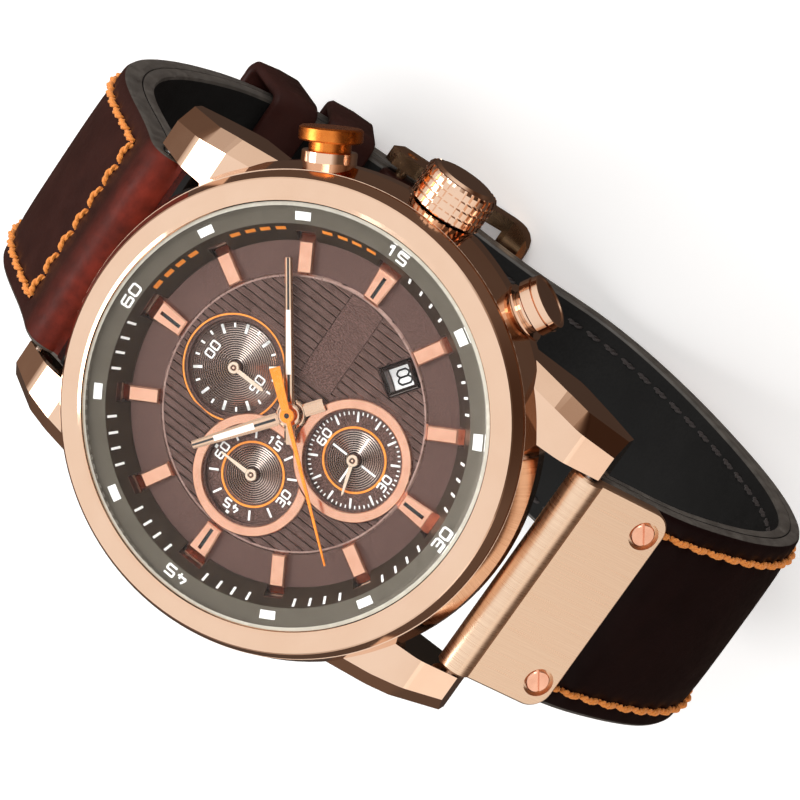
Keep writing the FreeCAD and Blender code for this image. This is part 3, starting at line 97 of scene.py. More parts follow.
def turned(x, y, clock, centre=(0.0, 0.0)):
    """A point drawn for 12 o'clock, turned clockwise about a centre."""
    a = math.radians(clock)
    return (centre[0] + x * math.cos(a) + y * math.sin(a), centre[1] - x * math.sin(a) + y * math.cos(a))


def bar(half, start, end, end_half=None):
    """The outline of a straight bar between two heights. It tapers to end_half if that is given."""
    far = half if end_half is None else end_half
    return [(-half, start), (half, start), (far, end), (-far, end)]


def round_section(middle, side, up, radius, sides):
    """Corners round a point, in the plane of two unit directions."""
    turns = [2 * math.pi * k / sides for k in range(sides)]
    return [middle + (side * math.cos(t) + up * math.sin(t)) * radius for t in turns]


class Shape:
    """Corners in millimetres and faces, gathered part by part. A face's kind picks its material."""

    def __init__(self):
        self.points = []
        self.faces = []
        self.kinds = []

    def add(self, points, faces, kinds=0):
        first = len(self.points)
        self.points += [tuple(p) for p in points]
        self.faces += [tuple(first + i for i in face) for face in faces]
        self.kinds += [kinds] * len(faces) if isinstance(kinds, int) else list(kinds)

    def sweep(self, loops, closed=False, kinds=0, caps=True):
        """A skin over loops of corners, one after another. kinds is one number, or one for each side."""
        size, count = len(loops[0]), len(loops)
        sides = [kinds] * size if isinstance(kinds, int) else list(kinds)
        faces, face_kinds = [], []
        for i in range(count if closed else count - 1):
            near, far = i * size, (i + 1) % count * size
            for k in range(size):
                n = (k + 1) % size
                faces.append((near + k, near + n, far + n, far + k))
                face_kinds.append(sides[k])
        if caps and not closed:
            faces.append(tuple(reversed(range(size))))
            faces.append(tuple(range((count - 1) * size, count * size)))
            face_kinds += [sides[0], sides[0]]
        self.add([p for loop in loops for p in loop], faces, face_kinds)

    def prism(self, outline, low, high, kind=0, place=None):
        """A flat outline between two heights. place moves each corner, given as x, y and z."""
        loops = [[(x, y, z) for x, y in outline] for z in (low, high)]
        if place:
            loops = [[place(*p) for p in loop] for loop in loops]
        self.sweep(loops, kinds=kind)

    def ribbon(self, line, wide, low, high, kind=0, place=None):
        """A line of even width with mitred corners, between two heights."""
        closed = line[0] == line[-1]
        spots = line[:-1] if closed else line
        count = len(spots)
        loops = []
        for i, (x, y) in enumerate(spots):
            before = Vector(spots[i]) - Vector(spots[i - 1]) if closed or i else None
            after = Vector(spots[(i + 1) % count]) - Vector(spots[i]) if closed or i < count - 1 else None
            before = (before or after).normalized()
            after = (after or before).normalized()
            across = Vector((-(before + after).y, (before + after).x)).normalized()
            across *= wide / 2 / max(0.35, across.dot(Vector((-after.y, after.x))))
            left, right = (x + across.x, y + across.y), (x - across.x, y - across.y)
            loop = [(*right, low), (*left, low), (*left, high), (*right, high)]
            loops.append([place(*p) for p in loop] if place else loop)
        self.sweep(loops, closed=closed, kinds=kind)

    def lathe(self, outline, centre=(0.0, 0.0), steps=96, kind=0):
        """A closed outline of (radius, height) turned about an upright axis."""
        loops = []
        for i in range(steps):
            a = 2 * math.pi * i / steps
            x, y = math.cos(a), math.sin(a)
            loops.append([(centre[0] + r * x, centre[1] + r * y, z) for r, z in outline])
        self.sweep(loops, closed=True, kinds=kind)

    def disc(self, centre, radius, low, high, steps=24, kind=0, place=None):
        turns = [2 * math.pi * i / steps for i in range(steps)]
        outline = [(centre[0] + radius * math.cos(a), centre[1] + radius * math.sin(a)) for a in turns]
        self.prism(outline, low, high, kind, place)


def mesh_of(shape, name):
    """A shape's mesh in metres, with the faces of every closed skin turned outward."""
    mesh = bpy.data.meshes.new(name)
    mesh.from_pydata([Vector(p) * MM for p in shape.points], [], shape.faces)
    made = bmesh.new()
    made.from_mesh(mesh)
    bmesh.ops.recalc_face_normals(made, faces=made.faces)
    made.to_mesh(mesh)
    made.free()
    return mesh


def smooth(mesh, crease):
    """Shade a mesh smooth, except over edges that turn by more than crease degrees."""
    mesh.shade_smooth()
    mesh.set_sharp_from_angle(angle=math.radians(crease))


def new_object(name, data):
    made = bpy.data.objects.new(name, data)
    bpy.context.scene.collection.objects.link(made)
    return made


def piece(shape, name, body, looks, replaces=(), crease=30.0, bevel=0.0):
    """Make an object from a shape with its materials, ride it on a CAD body and hide the CAD nodes it
    replaces.
    """
    mesh = mesh_of(shape, name)
    for look in looks if isinstance(looks, (list, tuple)) else [looks]:
        mesh.materials.append(look)
    mesh.polygons.foreach_set("material_index", shape.kinds)
    smooth(mesh, crease)
    made = new_object(name, mesh)
    if bevel:
        rounding = made.modifiers.new("edge_rounding", "BEVEL")
        rounding.width = bevel * MM
        rounding.segments = 2
        rounding.limit_method = "ANGLE"
        rounding.angle_limit = math.radians(40)
        rounding.harden_normals = True
    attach(made, body)
    if replaces:
        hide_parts(*replaces)
    return made


# ---------------------------------------------------------------- materials
class Nodes:
    """A node tree, built up a call at a time."""

    def __init__(self, tree):
        self.tree = tree

    def node(self, kind, **settings):
        made = self.tree.nodes.new("ShaderNode" + kind)
        for setting, value in settings.items():
            setattr(made, setting, value)
        return made

    def link(self, source, target):
        self.tree.links.new(source, target)

    def ramp(self, source, *stops):
        made = self.node("ValToRGB")
        band = made.color_ramp
        while len(band.elements) < len(stops):
            band.elements.new(0.5)
        for element, (at, colour) in zip(band.elements, stops):
            element.position = at
            element.color = (*colour, 1.0)
        self.link(source, made.inputs["Fac"])
        return made.outputs["Color"]

    def range(self, source, low, high, from_low=0.3, from_high=0.7):
        made = self.node("MapRange")
        for socket, value in zip(("From Min", "From Max", "To Min", "To Max"),
                                 (from_low, from_high, low, high)):
            made.inputs[socket].default_value = value
        self.link(source, made.inputs["Value"])
        return made.outputs["Result"]

    def mix(self, first, second, blend_type="MIX"):
        made = self.node("Mix", data_type="RGBA", blend_type=blend_type)
        self.link(first, made.inputs["A"])
        self.link(second, made.inputs["B"])
        return made

    def blend(self, factor, first, second):
        made = self.mix(first, second)
        self.link(factor, made.inputs["Factor"])
        return made.outputs["Result"]

    def multiply(self, first, second):
        made = self.mix(first, second, "MULTIPLY")
        made.inputs["Factor"].default_value = 1.0
        return made.outputs["Result"]


class Look(Nodes):
    """A material, built round its Principled shader."""

    def __init__(self, name, **plain):
        self.material = bpy.data.materials.new(name)
        self.material.use_nodes = True
        super().__init__(self.material.node_tree)
        self.shader = self.tree.nodes["Principled BSDF"]
        for socket, value in plain.items():
            self.shader.inputs[socket.replace("_", " ").title().replace("Ior", "IOR")].default_value = value
        self.relief = None

    def place(self, stretch=(1, 1, 1), turn=(0, 0, 0)):
        """Object coordinates, stretched, so that grain can run along one direction."""
        where = self.node("TexCoord")
        mapping = self.node("Mapping")
        mapping.inputs["Scale"].default_value = stretch
        mapping.inputs["Rotation"].default_value = [math.radians(angle) for angle in turn]
        self.link(where.outputs["Object"], mapping.inputs["Vector"])
        return mapping.outputs["Vector"]

    def noise(self, grain, detail=3.0, rough=0.55, stretch=(1, 1, 1), turn=(0, 0, 0)):
        """Noise whose features are about grain millimetres across."""
        made = self.node("TexNoise")
        made.inputs["Scale"].default_value = 1 / (grain * MM)
        made.inputs["Detail"].default_value = detail
        made.inputs["Roughness"].default_value = rough
        self.link(self.place(stretch, turn), made.inputs["Vector"])
        return made.outputs["Fac"]

    def cells(self, grain):
        """A leather-like net of cells about grain millimetres across."""
        made = self.node("TexVoronoi", feature="DISTANCE_TO_EDGE")
        made.inputs["Scale"].default_value = 1 / (grain * MM)
        self.link(self.place(), made.inputs["Vector"])
        return made.outputs["Distance"]

    def math(self, operation, first, second=None):
        made = self.node("Math", operation=operation)
        for socket, value in zip(made.inputs, (first, second)):
            if value is None:
                continue
            if isinstance(value, (int, float)):
                socket.default_value = value
            else:
                self.link(value, socket)
        return made.outputs["Value"]

    def axis(self, which):
        """One object coordinate in metres: X, Y or Z."""
        made = self.node("SeparateXYZ")
        where = self.node("TexCoord")
        self.link(where.outputs["Object"], made.inputs["Vector"])
        return made.outputs[which]

    def radius(self):
        """The distance from the watch's axis, in metres."""
        x, y = self.axis("X"), self.axis("Y")
        squares = self.math("ADD", self.math("MULTIPLY", x, x), self.math("MULTIPLY", y, y))
        return self.math("SQRT", squares)

    def colour(self, source):
        self.link(source, self.shader.inputs["Base Color"])

    def roughness(self, source):
        self.link(source, self.shader.inputs["Roughness"])

    def height(self, source, depth, strength=1.0):
        """Add relief of that depth in millimetres, on top of any relief added before."""
        made = self.node("Bump")
        made.inputs["Strength"].default_value = strength
        made.inputs["Distance"].default_value = depth * MM
        self.link(source, made.inputs["Height"])
        if self.relief:
            self.link(self.relief, made.inputs["Normal"])
        self.relief = made.outputs["Normal"]
        self.link(self.relief, self.shader.inputs["Normal"])


def plain_metal(name, light, dark, low, high, grain=6.0, relief=0.0015):
    """Polished or turned metal: two close tones, uneven gloss and faint handling marks."""
    look = Look(name, metallic=1.0)
    look.colour(look.ramp(look.noise(grain), (0.35, dark), (0.65, light)))
    look.roughness(look.range(look.noise(grain * 0.4, 4.0), low, high))
    look.height(look.noise(0.5, 2.0), relief, 0.25)
    return look.material


def brushed_metal(name, light, dark, stretch, turn=(0, 0, 0), low=0.24, high=0.38):
    """Metal with long fine scratches in one direction."""
    look = Look(name, metallic=1.0)
    lines = look.noise(0.5, 4.0, 0.7, stretch, turn)
    look.colour(look.ramp(lines, (0.3, dark), (0.7, light)))
    look.roughness(look.range(lines, low, high))
    look.height(lines, 0.006, 0.55)
    return look.material


def plastic(name, light, dark, low=0.3, high=0.45, grain=1.5, metallic=0.0, relief=0.004, glow=0.0):
    """Moulded, painted or printed surface with a slight mottle."""
    look = Look(name, metallic=metallic, emission_strength=glow)
    look.shader.inputs["Emission Color"].default_value = (*light, 1.0)
    look.colour(look.ramp(look.noise(grain), (0.35, dark), (0.65, light)))
    look.roughness(look.range(look.noise(grain * 0.5, 4.0), low, high))
    look.height(look.noise(0.15, 3.0), relief, 0.3)
    return look.material


def dial_metal():
    """Brown metallic lacquer over a grained dial: fine sparkle in colour and relief."""
    look = Look("dial_grain", metallic=0.75)
    grains = look.noise(0.12, 3.0, 0.6)
    lacquer = look.ramp(look.noise(5.0), (0.3, (0.080, 0.041, 0.033)), (0.7, (0.094, 0.050, 0.040)))
    sparkle = look.ramp(grains, (0.40, (0.032, 0.016, 0.013)), (0.64, (0.24, 0.138, 0.115)))
    look.colour(look.blend(grains, lacquer, sparkle))
    look.roughness(look.range(grains, 0.5, 0.34))
    look.height(grains, 0.012, 0.5)
    return look.material


def ring_metal():
    """The chapter ring: olive grey on its flat, near-black brown on the slope inside."""
    look = Look("chapter_lacquer", metallic=0.45)
    flat = look.ramp(look.noise(1.2, 4.0), (0.3, (0.088, 0.073, 0.053)), (0.7, (0.108, 0.091, 0.068)))
    slope = look.ramp(look.noise(1.2, 4.0), (0.3, (0.026, 0.016, 0.009)), (0.7, (0.044, 0.028, 0.017)))
    step = look.range(look.radius(), 0.0, 1.0, (RING_LIP_R - 0.06) * MM, (RING_LIP_R + 0.02) * MM)
    look.colour(look.blend(step, slope, flat))
    look.roughness(look.range(look.noise(0.4, 4.0), 0.3, 0.42))
    look.height(look.noise(0.12, 3.0), 0.003, 0.3)
    return look.material


def smooth_leather(name, light, dark, warm, rough=(0.32, 0.5)):
    """Oiled leather: pores and creases, redder on the roll at 12 o'clock with its pull-up colour and a
    painted warm reflection and highlight, darker towards 6 o'clock with painted shade.
    """
    look = Look(name, specular_ior_level=0.09)
    mottle = look.ramp(look.noise(7.0, 6.0, 0.6), (0.3, dark), (0.72, light))
    # The roll near the case: partly the leather's red pull-up colour, partly a painted warm reflection and
    # highlight.
    near_case = look.range(look.axis("Z"), 0.0, 1.0, 0.0, 6.5 * MM)
    from_roll = look.math("ABSOLUTE", look.math("SUBTRACT", look.axis("Y"), 21.5 * MM))
    near_twelve = look.range(from_roll, 1.0, 0.0, 2.2 * MM, 5.2 * MM)
    patch = look.math("MULTIPLY", look.math("MULTIPLY", near_case, near_twelve),
                      look.range(look.noise(2.5, 4.0), 0.45, 1.0))
    roll_reds_and_sheen = look.ramp(look.noise(1.6, 5.0), (0.3, warm), (0.7, [min(1.0, c * 1.9) for c in warm]))
    # Painted shade: the colour darkens towards 6 o'clock, where less light falls on the strap.
    painted_shade_to_six = look.ramp(look.range(look.axis("Y"), 0.0, 1.0, -20 * MM, 24 * MM),
                              (0.0, (0.28, 0.26, 0.30)), (1.0, (1.0, 1.0, 1.0)))
    look.colour(look.multiply(look.blend(patch, mottle, roll_reds_and_sheen), painted_shade_to_six))
    look.roughness(look.range(look.noise(1.4, 5.0), *rough))
    look.height(look.cells(0.75), 0.05, 0.22)
    look.height(look.noise(0.22, 4.0, 0.65), 0.03, 0.35)
    look.height(look.noise(3.2, 3.0, 0.5), 0.12, 0.25)
    return look.material


def napped_leather(name, light, dark):
    """The matt lining with a soft nap."""
    look = Look(name, specular_ior_level=0.12)
    nap = look.noise(0.3, 5.0, 0.7)
    look.colour(look.ramp(look.math("MULTIPLY", nap, look.range(look.noise(6.0, 3.0), 0.8, 1.15)),
                          (0.3, dark), (0.7, light)))
    look.roughness(look.range(nap, 0.55, 0.8))
    look.height(nap, 0.03, 0.5)
    look.height(look.noise(2.5, 3.0), 0.1, 0.2)
    return look.material


def thread(name, light, dark):
    """Waxed thread: fine fibres along the strands."""
    look = Look(name, specular_ior_level=0.4, sheen_weight=0.1)
    fibres = look.noise(0.09, 4.0, 0.7)
    look.colour(look.ramp(fibres, (0.28, dark), (0.7, light)))
    look.roughness(look.range(fibres, 0.45, 0.7))
    look.height(fibres, 0.02, 0.6)
    return look.material


def clear_crystal():
    """Hardened mineral glass, faintly uneven in gloss. Lamps shine through it, since it casts no shadow."""
    look = Look("crystal_glass", transmission_weight=1.0, ior=1.2, roughness=0.0)
    look.colour(look.ramp(look.noise(20.0), (0.3, (0.985, 0.99, 0.985)), (0.7, (1.0, 1.0, 1.0))))
    return look.material


# Each look: name, light and dark tone, lowest and highest roughness, then grain and relief in millimetres.
LOOKS = {
    "rose_gold": plain_metal("rose_gold_polish", (0.86, 0.60, 0.44), (0.83, 0.565, 0.405), 0.05, 0.12),
    "dark_gold": plain_metal("buckle_gold", (0.72, 0.46, 0.27), (0.62, 0.38, 0.21), 0.16, 0.3),
    "copper": plain_metal("rose_copper", (0.90, 0.50, 0.35), (0.84, 0.44, 0.30), 0.14, 0.24, 1.5),
    "pale_rose": plain_metal("pale_rose", (0.95, 0.78, 0.62), (0.90, 0.72, 0.56), 0.14, 0.24, 1.5),
    "orange_anodised": plain_metal("orange_anodising", (0.78, 0.24, 0.045), (0.68, 0.19, 0.032),
                                   0.2, 0.32, 1.0),
    "orange_lacquer": plastic("orange_lacquer", (0.95, 0.27, 0.015), (0.88, 0.23, 0.012), 0.22, 0.34),
    "steel": plain_metal("bright_steel", (0.60, 0.60, 0.60), (0.52, 0.52, 0.53), 0.16, 0.3),
    "spring_steel": plain_metal("spring_steel", (0.42, 0.41, 0.40), (0.34, 0.33, 0.32), 0.22, 0.36),
    "soft_iron": plain_metal("soft_iron", (0.30, 0.29, 0.28), (0.22, 0.21, 0.20), 0.4, 0.55, 1.0, 0.006),
    "brass": plain_metal("movement_brass", (0.80, 0.60, 0.26), (0.70, 0.50, 0.20), 0.22, 0.36, 2.0),
    "nylon": plastic("white_nylon", (0.78, 0.77, 0.72), (0.68, 0.67, 0.62)),
    "magnet": plain_metal("ferrite_magnet", (0.10, 0.10, 0.10), (0.06, 0.06, 0.06), 0.4, 0.55, 0.5, 0.006),
    "copper_wire": brushed_metal("enamelled_wire", (0.72, 0.28, 0.10), (0.50, 0.17, 0.06), (0.05, 6, 6)),
    "board": plastic("circuit_lacquer", (0.02, 0.16, 0.07), (0.012, 0.10, 0.045)),
    "gasket_rubber": plastic("gasket_rubber", (0.035, 0.035, 0.035), (0.018, 0.018, 0.018), 0.5, 0.7),
    "dial_brown": dial_metal(),
    "chapter_olive": ring_metal(),
    # The date disc glows: painted light that keeps it bright in the shade of its recess.
    "date_white": plastic("date_white", (0.92, 0.92, 0.91), (0.87, 0.87, 0.86), 0.4, 0.55, glow=0.55),
    "crystal": clear_crystal(),
    "brown_leather": smooth_leather("brown_leather", (0.042, 0.0135, 0.0105), (0.022, 0.0068, 0.0055),
                                    (0.11, 0.014, 0.008)),
    "black_lining": napped_leather("black_lining", (0.013, 0.0125, 0.012), (0.006, 0.0058, 0.0056)),
}
SATIN_PLATE = brushed_metal("satin_rose_plate", (0.97, 0.72, 0.52), (0.76, 0.52, 0.36), (4.5, 0.06, 0.06),
                            (40.7, 0, 0))
# The white print glows faintly: painted light that keeps it white where the dial's shade would grey it.
PRINT_WHITE = plastic("print_white", (0.92, 0.92, 0.90), (0.86, 0.86, 0.84), 0.5, 0.6, 0.4, glow=0.12)
PRINT_BLACK = plastic("print_black", (0.012, 0.012, 0.012), (0.006, 0.006, 0.006), 0.3, 0.45, 0.4)
WINDOW_DARK = plain_metal("window_dark", (0.045, 0.03, 0.026), (0.025, 0.017, 0.014), 0.14, 0.25)
# A light copy of the window metal: painted light for the chute wall that faces up and out.
WINDOW_PAINTED_LIGHT = plain_metal("window_painted_light", (0.78, 0.68, 0.64), (0.68, 0.58, 0.54), 0.14, 0.25)
CLEAR_GASKET = plastic("clear_gasket", (0.66, 0.63, 0.54), (0.56, 0.53, 0.45), 0.2, 0.3)
LUME = plastic("cream_lume", (0.93, 0.90, 0.84), (0.84, 0.80, 0.73), 0.45, 0.6, 0.25, 0.0, 0.01)
RING_ORANGE = plastic("print_orange", (0.93, 0.30, 0.03), (0.84, 0.25, 0.02), 0.35, 0.5, 0.4)
SUNRAY = plain_metal("azurage_brown", (0.06, 0.035, 0.028), (0.05, 0.029, 0.023), 0.22, 0.27, 8.0, 0.0)
# Pale crests for the azurage: a painted highlight of its turned lines over the brown floor.
GROOVE_HIGHLIGHT = plain_metal("azurage_painted_highlight", (0.62, 0.53, 0.49), (0.54, 0.46, 0.42), 0.18, 0.24, 8.0, 0.0)
# The slat brown below comes with a lit and a shaded copy: a painted highlight for the bevels and painted
# shade for the grooves between the slats.
SLAT = plain_metal("slat_brown", (0.145, 0.088, 0.076), (0.105, 0.062, 0.052), 0.3, 0.42, 0.8, 0.004)
SLAT_SHADE = plain_metal("slat_shade", (0.03, 0.017, 0.014), (0.018, 0.01, 0.008), 0.4, 0.5, 0.8)
SLAT_HIGHLIGHT = plain_metal("slat_painted_highlight", (0.42, 0.28, 0.24), (0.32, 0.20, 0.17), 0.25, 0.35, 0.8)
NOTCH = plain_metal("notch_brown", (0.16, 0.075, 0.055), (0.08, 0.035, 0.026), 0.25, 0.4, 0.6)
EDGE_PAINT = plastic("edge_paint", (0.085, 0.075, 0.064), (0.05, 0.044, 0.038), 0.4, 0.55, 1.5, 0.0, 0.03)
ORANGE_THREAD = thread("orange_thread", (0.90, 0.33, 0.055), (0.62, 0.17, 0.022))
DARK_THREAD = thread("dark_thread", (0.03, 0.02, 0.018), (0.014, 0.01, 0.009))

NODE_SLOTS = {
    "rose_gold": ["case_middle", "bezel", "crown", "upper_push_collar", "lower_push_collar",
                  "lower_push_piece", "hour_hand", "minute_hand"],
    "dark_gold": ["buckle_frame", "buckle_hinge_bar", "buckle_tongue"],
    "copper": ["hour_markers", "sub_dial_rings", "end_plate_screws", "split_hand", "minute_counter_hand",
               "small_seconds_hand"],
    "orange_anodised": ["upper_push_piece"],
    "orange_lacquer": ["chrono_seconds_hand"],
    "steel": ["case_back", "date_window_frame", "spring_bar_12", "spring_bar_6", "winding_stem",
              "crown_tube", "bridge_screws", "battery"],
    "spring_steel": ["upper_push_spring", "lower_push_spring", "battery_clamp"],
    "soft_iron": ["stator"],
    "brass": ["main_plate", "train_bridge", "cannon_pinion", "hour_wheel", "minute_wheel", "seconds_wheel",
              "chrono_seconds_wheel", "counter_idler_wheel", "minute_counter_wheel", "split_seconds_wheel"],
    "nylon": ["movement_holder", "step_idler_wheel"],
    "magnet": ["rotor"],
    "copper_wire": ["coil"],
    "board": ["circuit_board"],
    "gasket_rubber": ["crystal_gasket", "case_back_gasket", "crown_gasket"],
    "dial_brown": ["dial"],
    "chapter_olive": ["chapter_ring"],
    "date_white": ["date_disc"],
    "crystal": ["crystal"],
}


def dress(node, look):
    """Give a CAD node one look in place of its own materials."""
    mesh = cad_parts[node].data
    mesh.materials.clear()
    mesh.materials.append(look)


def dress_nodes():
    for slot, names in NODE_SLOTS.items():
        for name in names:
            dress(name, LOOKS[slot])
    dress("end_plate", SATIN_PLATE)
    dress("date_window_frame", WINDOW_DARK)
    dress("crystal_gasket", CLEAR_GASKET)
    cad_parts["crystal"].visible_shadow = False


# ---------------------------------------------------------------- numbers
STROKES = {
    "0": [[(0, 0), (1, 0), (1, 1), (0, 1), (0, 0)]],
    "1": [[(0.25, 0.8), (0.62, 1), (0.62, 0)]],
    "2": [[(0, 1), (1, 1), (1, 0.5), (0, 0.5), (0, 0), (1, 0)]],
    "3": [[(0, 1), (1, 1), (1, 0), (0, 0)], [(0.25, 0.5), (0.95, 0.5)]],
    "4": [[(0.35, 1), (0, 0.35), (1, 0.35)], [(0.72, 0.65), (0.72, 0)]],
    "5": [[(1, 1), (0, 1), (0, 0.52), (1, 0.52), (1, 0), (0, 0)]],
    "6": [[(1, 1), (0, 1), (0, 0), (1, 0), (1, 0.52), (0.05, 0.52)]],
    "7": [[(0, 1), (1, 1), (0.45, 0)]],
    "8": [[(0, 0), (1, 0), (1, 0.5), (0, 0.5), (0, 0)],
          [(0.06, 0.5), (0.94, 0.5), (0.94, 1), (0.06, 1), (0.06, 0.5)]],
    "9": [[(0.95, 0.45), (0, 0.45), (0, 1), (1, 1), (1, 0), (0, 0)]],
}


def cut_corners(run, cut):
    """A line with every corner between its ends cut off at a share of the shorter side next to it."""
    closed = run[0] == run[-1]
    spots = [Vector(p) for p in (run[:-1] if closed else run)]
    made = []
    for i, spot in enumerate(spots):
        if not closed and i in (0, len(spots) - 1):
            made.append(tuple(spot))
            continue
        before, after = spots[i - 1] - spot, spots[(i + 1) % len(spots)] - spot
        reach = cut * min(before.length, after.length)
        made += [tuple(spot + before.normalized() * reach), tuple(spot + after.normalized() * reach)]
    return made + made[:1] if closed else made


def write_number(shape, text, tall, place, kind=0, wide=0.62, line=0.17, gap=0.3, thick=0.02, cut=0.16):
    """Draw a number centred on its place. place takes right, up and off-the-surface millimetres."""
    stroke = tall * line
    step = tall * (wide + gap)
    start = -step * (len(text) - 1) / 2 - tall * wide / 2
    for i, digit in enumerate(text):
        for run in STROKES[digit]:
            spots = [(start + i * step + x * tall * wide, (y - 0.5) * tall) for x, y in run]
            shape.ribbon(cut_corners(spots, cut), stroke, 0.0, thick, kind, place)


def on_flat(centre, clock, radius, z, upright=False):
    """A place on a level face, at a clock angle round a centre. Tops point outward, or to 12 if upright."""
    def place(right, up, off):
        if upright:
            x, y = turned(0, radius, clock)
            return (centre[0] + x + right, centre[1] + y + up, z + off)
        x, y = turned(right, radius + up, clock, centre)
        return (x, y, z + off)
    return place


def facing(clock):
    """A place whose up direction points outward from the watch's axis, at height 0."""
    return on_flat((0, 0), clock, 0, 0)


def flange_height(radius):
    """The chapter ring's top at a radius: a nearly level flat outside a steep slope."""
    if radius > RING_LIP_R:
        return RING_LIP_Z + (RING_TOP - RING_LIP_Z) * (radius - RING_LIP_R) / (RING_OUTER_R - RING_LIP_R)
    foot = DIAL_TOP + 0.12
    return foot + (RING_LIP_Z - foot) * (radius - RING_INNER_R) / (RING_LIP_R - RING_INNER_R)


def on_flange(clock, radius, inward=False):
    """A place on the chapter ring, bent round it. Number tops point outward unless inward is set."""
    sign = -1 if inward else 1

    def place(right, up, off):
        r = radius + sign * up
        spot = polar(r, clock + sign * math.degrees(right / radius))
        return (spot.x, spot.y, flange_height(r) + off)
    return place


# ---------------------------------------------------------------- dial
def circle_span(centre, radius):
    """The stretch of y that a circle covers at a given x, or None beside it."""
    def span(x):
        inside = radius ** 2 - (x - centre[0]) ** 2
        if inside <= 0:
            return None
        return centre[1] - math.sqrt(inside), centre[1] + math.sqrt(inside)
    return span


def box_span(x_low, x_high, y_low, y_high):
    def span(x):
        return (y_low, y_high) if x_low < x < x_high else None
    return span


def outline_span(corners):
    """The stretch of y that a convex outline covers at a given x."""
    def span(x):
        cuts = []
        for (x0, y0), (x1, y1) in zip(corners, corners[1:] + corners[:1]):
            if min(x0, x1) <= x < max(x0, x1):
                cuts.append(y0 + (y1 - y0) * (x - x0) / (x1 - x0))
        return (min(cuts), max(cuts)) if len(cuts) == 2 else None
    return span


PLATE_RADIUS = 12.2
SLAT_PITCH, SLAT_WIDE, SLAT_TALL = 0.72, 0.59, 0.11
SHORTEST_SLAT = 0.25
STRIP = (3.4, PLATE_RADIUS - 0.3, -1.75, 1.6)  # the smooth band of the dial towards 3 o'clock
HUB_CLEAR = 1.6
SUB_CLEAR = {"twelve": 4.95, "nine": 5.6, "six": 5.6}


def date_corners(long, wide):
    """The corners of a box round the date window."""
    spots = [(-wide, -long), (wide, -long), (wide, long), (-wide, long)]
    return [turned(x / 2, DATE_RADIUS + y / 2, 90 - DATE_ANGLE) for x, y in spots]


def free_runs(x, keep_out):
    """The stretches of y at x that lie on the round centre plate and in none of the keep-out spans."""
    whole = circle_span((0, 0), PLATE_RADIUS)(x)
    if whole is None:
        return []
    runs = [whole]
    for low, high in filter(None, [span(x) for span in keep_out]):
        cut = []
        for a, b in runs:
            cut += [(a, min(b, low)), (max(a, high), b)]
        runs = [(a, b) for a, b in cut if b - a > SHORTEST_SLAT]
    return runs


def dial_slats():
    """The stamped ribs of the dial's centre, cut back round the sub-dials, the date and the smooth band."""
    shape = Shape()
    keep_out = [circle_span(SUB_CENTRES[where], radius) for where, radius in SUB_CLEAR.items()]
    keep_out += [circle_span((0, 0), HUB_CLEAR), box_span(*STRIP[:2], STRIP[2] - 0.12, STRIP[3] + 0.12),
                 outline_span(date_corners(3.5, 3.1))]
    count = int(2 * PLATE_RADIUS / SLAT_PITCH) + 1
    bevel, gap = 0.075, SLAT_PITCH - SLAT_WIDE - 0.01
    top, low = DIAL_TOP + SLAT_TALL, DIAL_TOP - 0.01
    ridge = top - SLAT_TALL * 0.4
    for i in range(count):
        x = (i - (count - 1) / 2) * SLAT_PITCH
        left, right = x - SLAT_WIDE / 2, x + SLAT_WIDE / 2
        middle = free_runs(x, keep_out)
        near, far = free_runs(left, keep_out), free_runs(right, keep_out)
        near = near if len(near) == len(middle) else middle
        far = far if len(far) == len(middle) else middle
        for (la, lb), (a, b), (ra, rb) in zip(near, middle, far):
            loops = []
            for ya, yb, yc in ((la, a, ra), (lb, b, rb)):
                loops.append([(left, ya, low), (left, ya, top - 0.05), (left + bevel, ya, top),
                              (x + 0.02, yb, top - 0.012), (right, yc, ridge),
                              (right + gap * 0.5, yc, low + 0.02), (right + gap, yc, low)])
            # Each slat's bevel takes the painted highlight; its sides and the groove after it take the
            # painted shade.
            shape.sweep(loops, kinds=[2, 1, 0, 0, 2, 2, 2])
    piece(shape, "dial_slats", "case", [SLAT, SLAT_HIGHLIGHT, SLAT_SHADE], crease=20)


def dial_centre():
    """The centre plate's bevelled rim and the smooth raised band towards 3 o'clock."""
    shape = Shape()
    low, top = DIAL_TOP - 0.01, DIAL_TOP + 0.14
    inner, crest, outer = PLATE_RADIUS - 0.02, PLATE_RADIUS + 0.14, PLATE_RADIUS + 0.3
    # The rim is coloured all round with the slats' painted highlight.
    shape.lathe([(inner, low), (outer, low), (outer, low + 0.03), (crest, top), (inner, top - 0.01)],
                steps=160, kind=1)
    x_low, _, y_low, y_high = STRIP
    far = math.sqrt(PLATE_RADIUS ** 2 - y_low ** 2) - 0.12
    middle = (y_low + y_high) / 2
    outline = [(x_low, y_low), (far, y_low), (far + 0.2, middle), (far, y_high), (x_low, y_high)]
    shape.prism(outline, low, DIAL_TOP + 0.1)
    piece(shape, "dial_centre_plate", "case", [LOOKS["dial_brown"], SLAT_HIGHLIGHT], bevel=0.03)


def azurage(where, inner, outer, pitch=0.2):
    """Fine concentric grooves turned in a sub-dial's floor."""
    shape = Shape()
    ridges = int((outer - inner) / pitch)
    last = inner + ridges * pitch
    under, valley, shoulder, crest = (SUB_FLOOR + rise for rise in (-0.02, 0.005, 0.03, 0.05))
    # The shoulder and crest of each ridge carry the painted highlight; the valleys keep the brown.
    outline, kinds = [(inner, under)], [0]
    for i in range(ridges):
        r = inner + i * pitch
        outline += [(r + 0.01, valley), (r + pitch * 0.62, shoulder), (r + pitch * 0.7, crest)]
        kinds += [0, 1, 1]
    outline += [(last, SUB_FLOOR + 0.012), (last, under)]
    kinds += [0, 0]
    shape.lathe(outline, SUB_CENTRES[where], steps=120, kind=kinds)
    piece(shape, "azurage_" + where, "case", [SUNRAY, GROOVE_HIGHLIGHT], crease=5)


PRINT_Z = SUB_FLOOR + 0.05
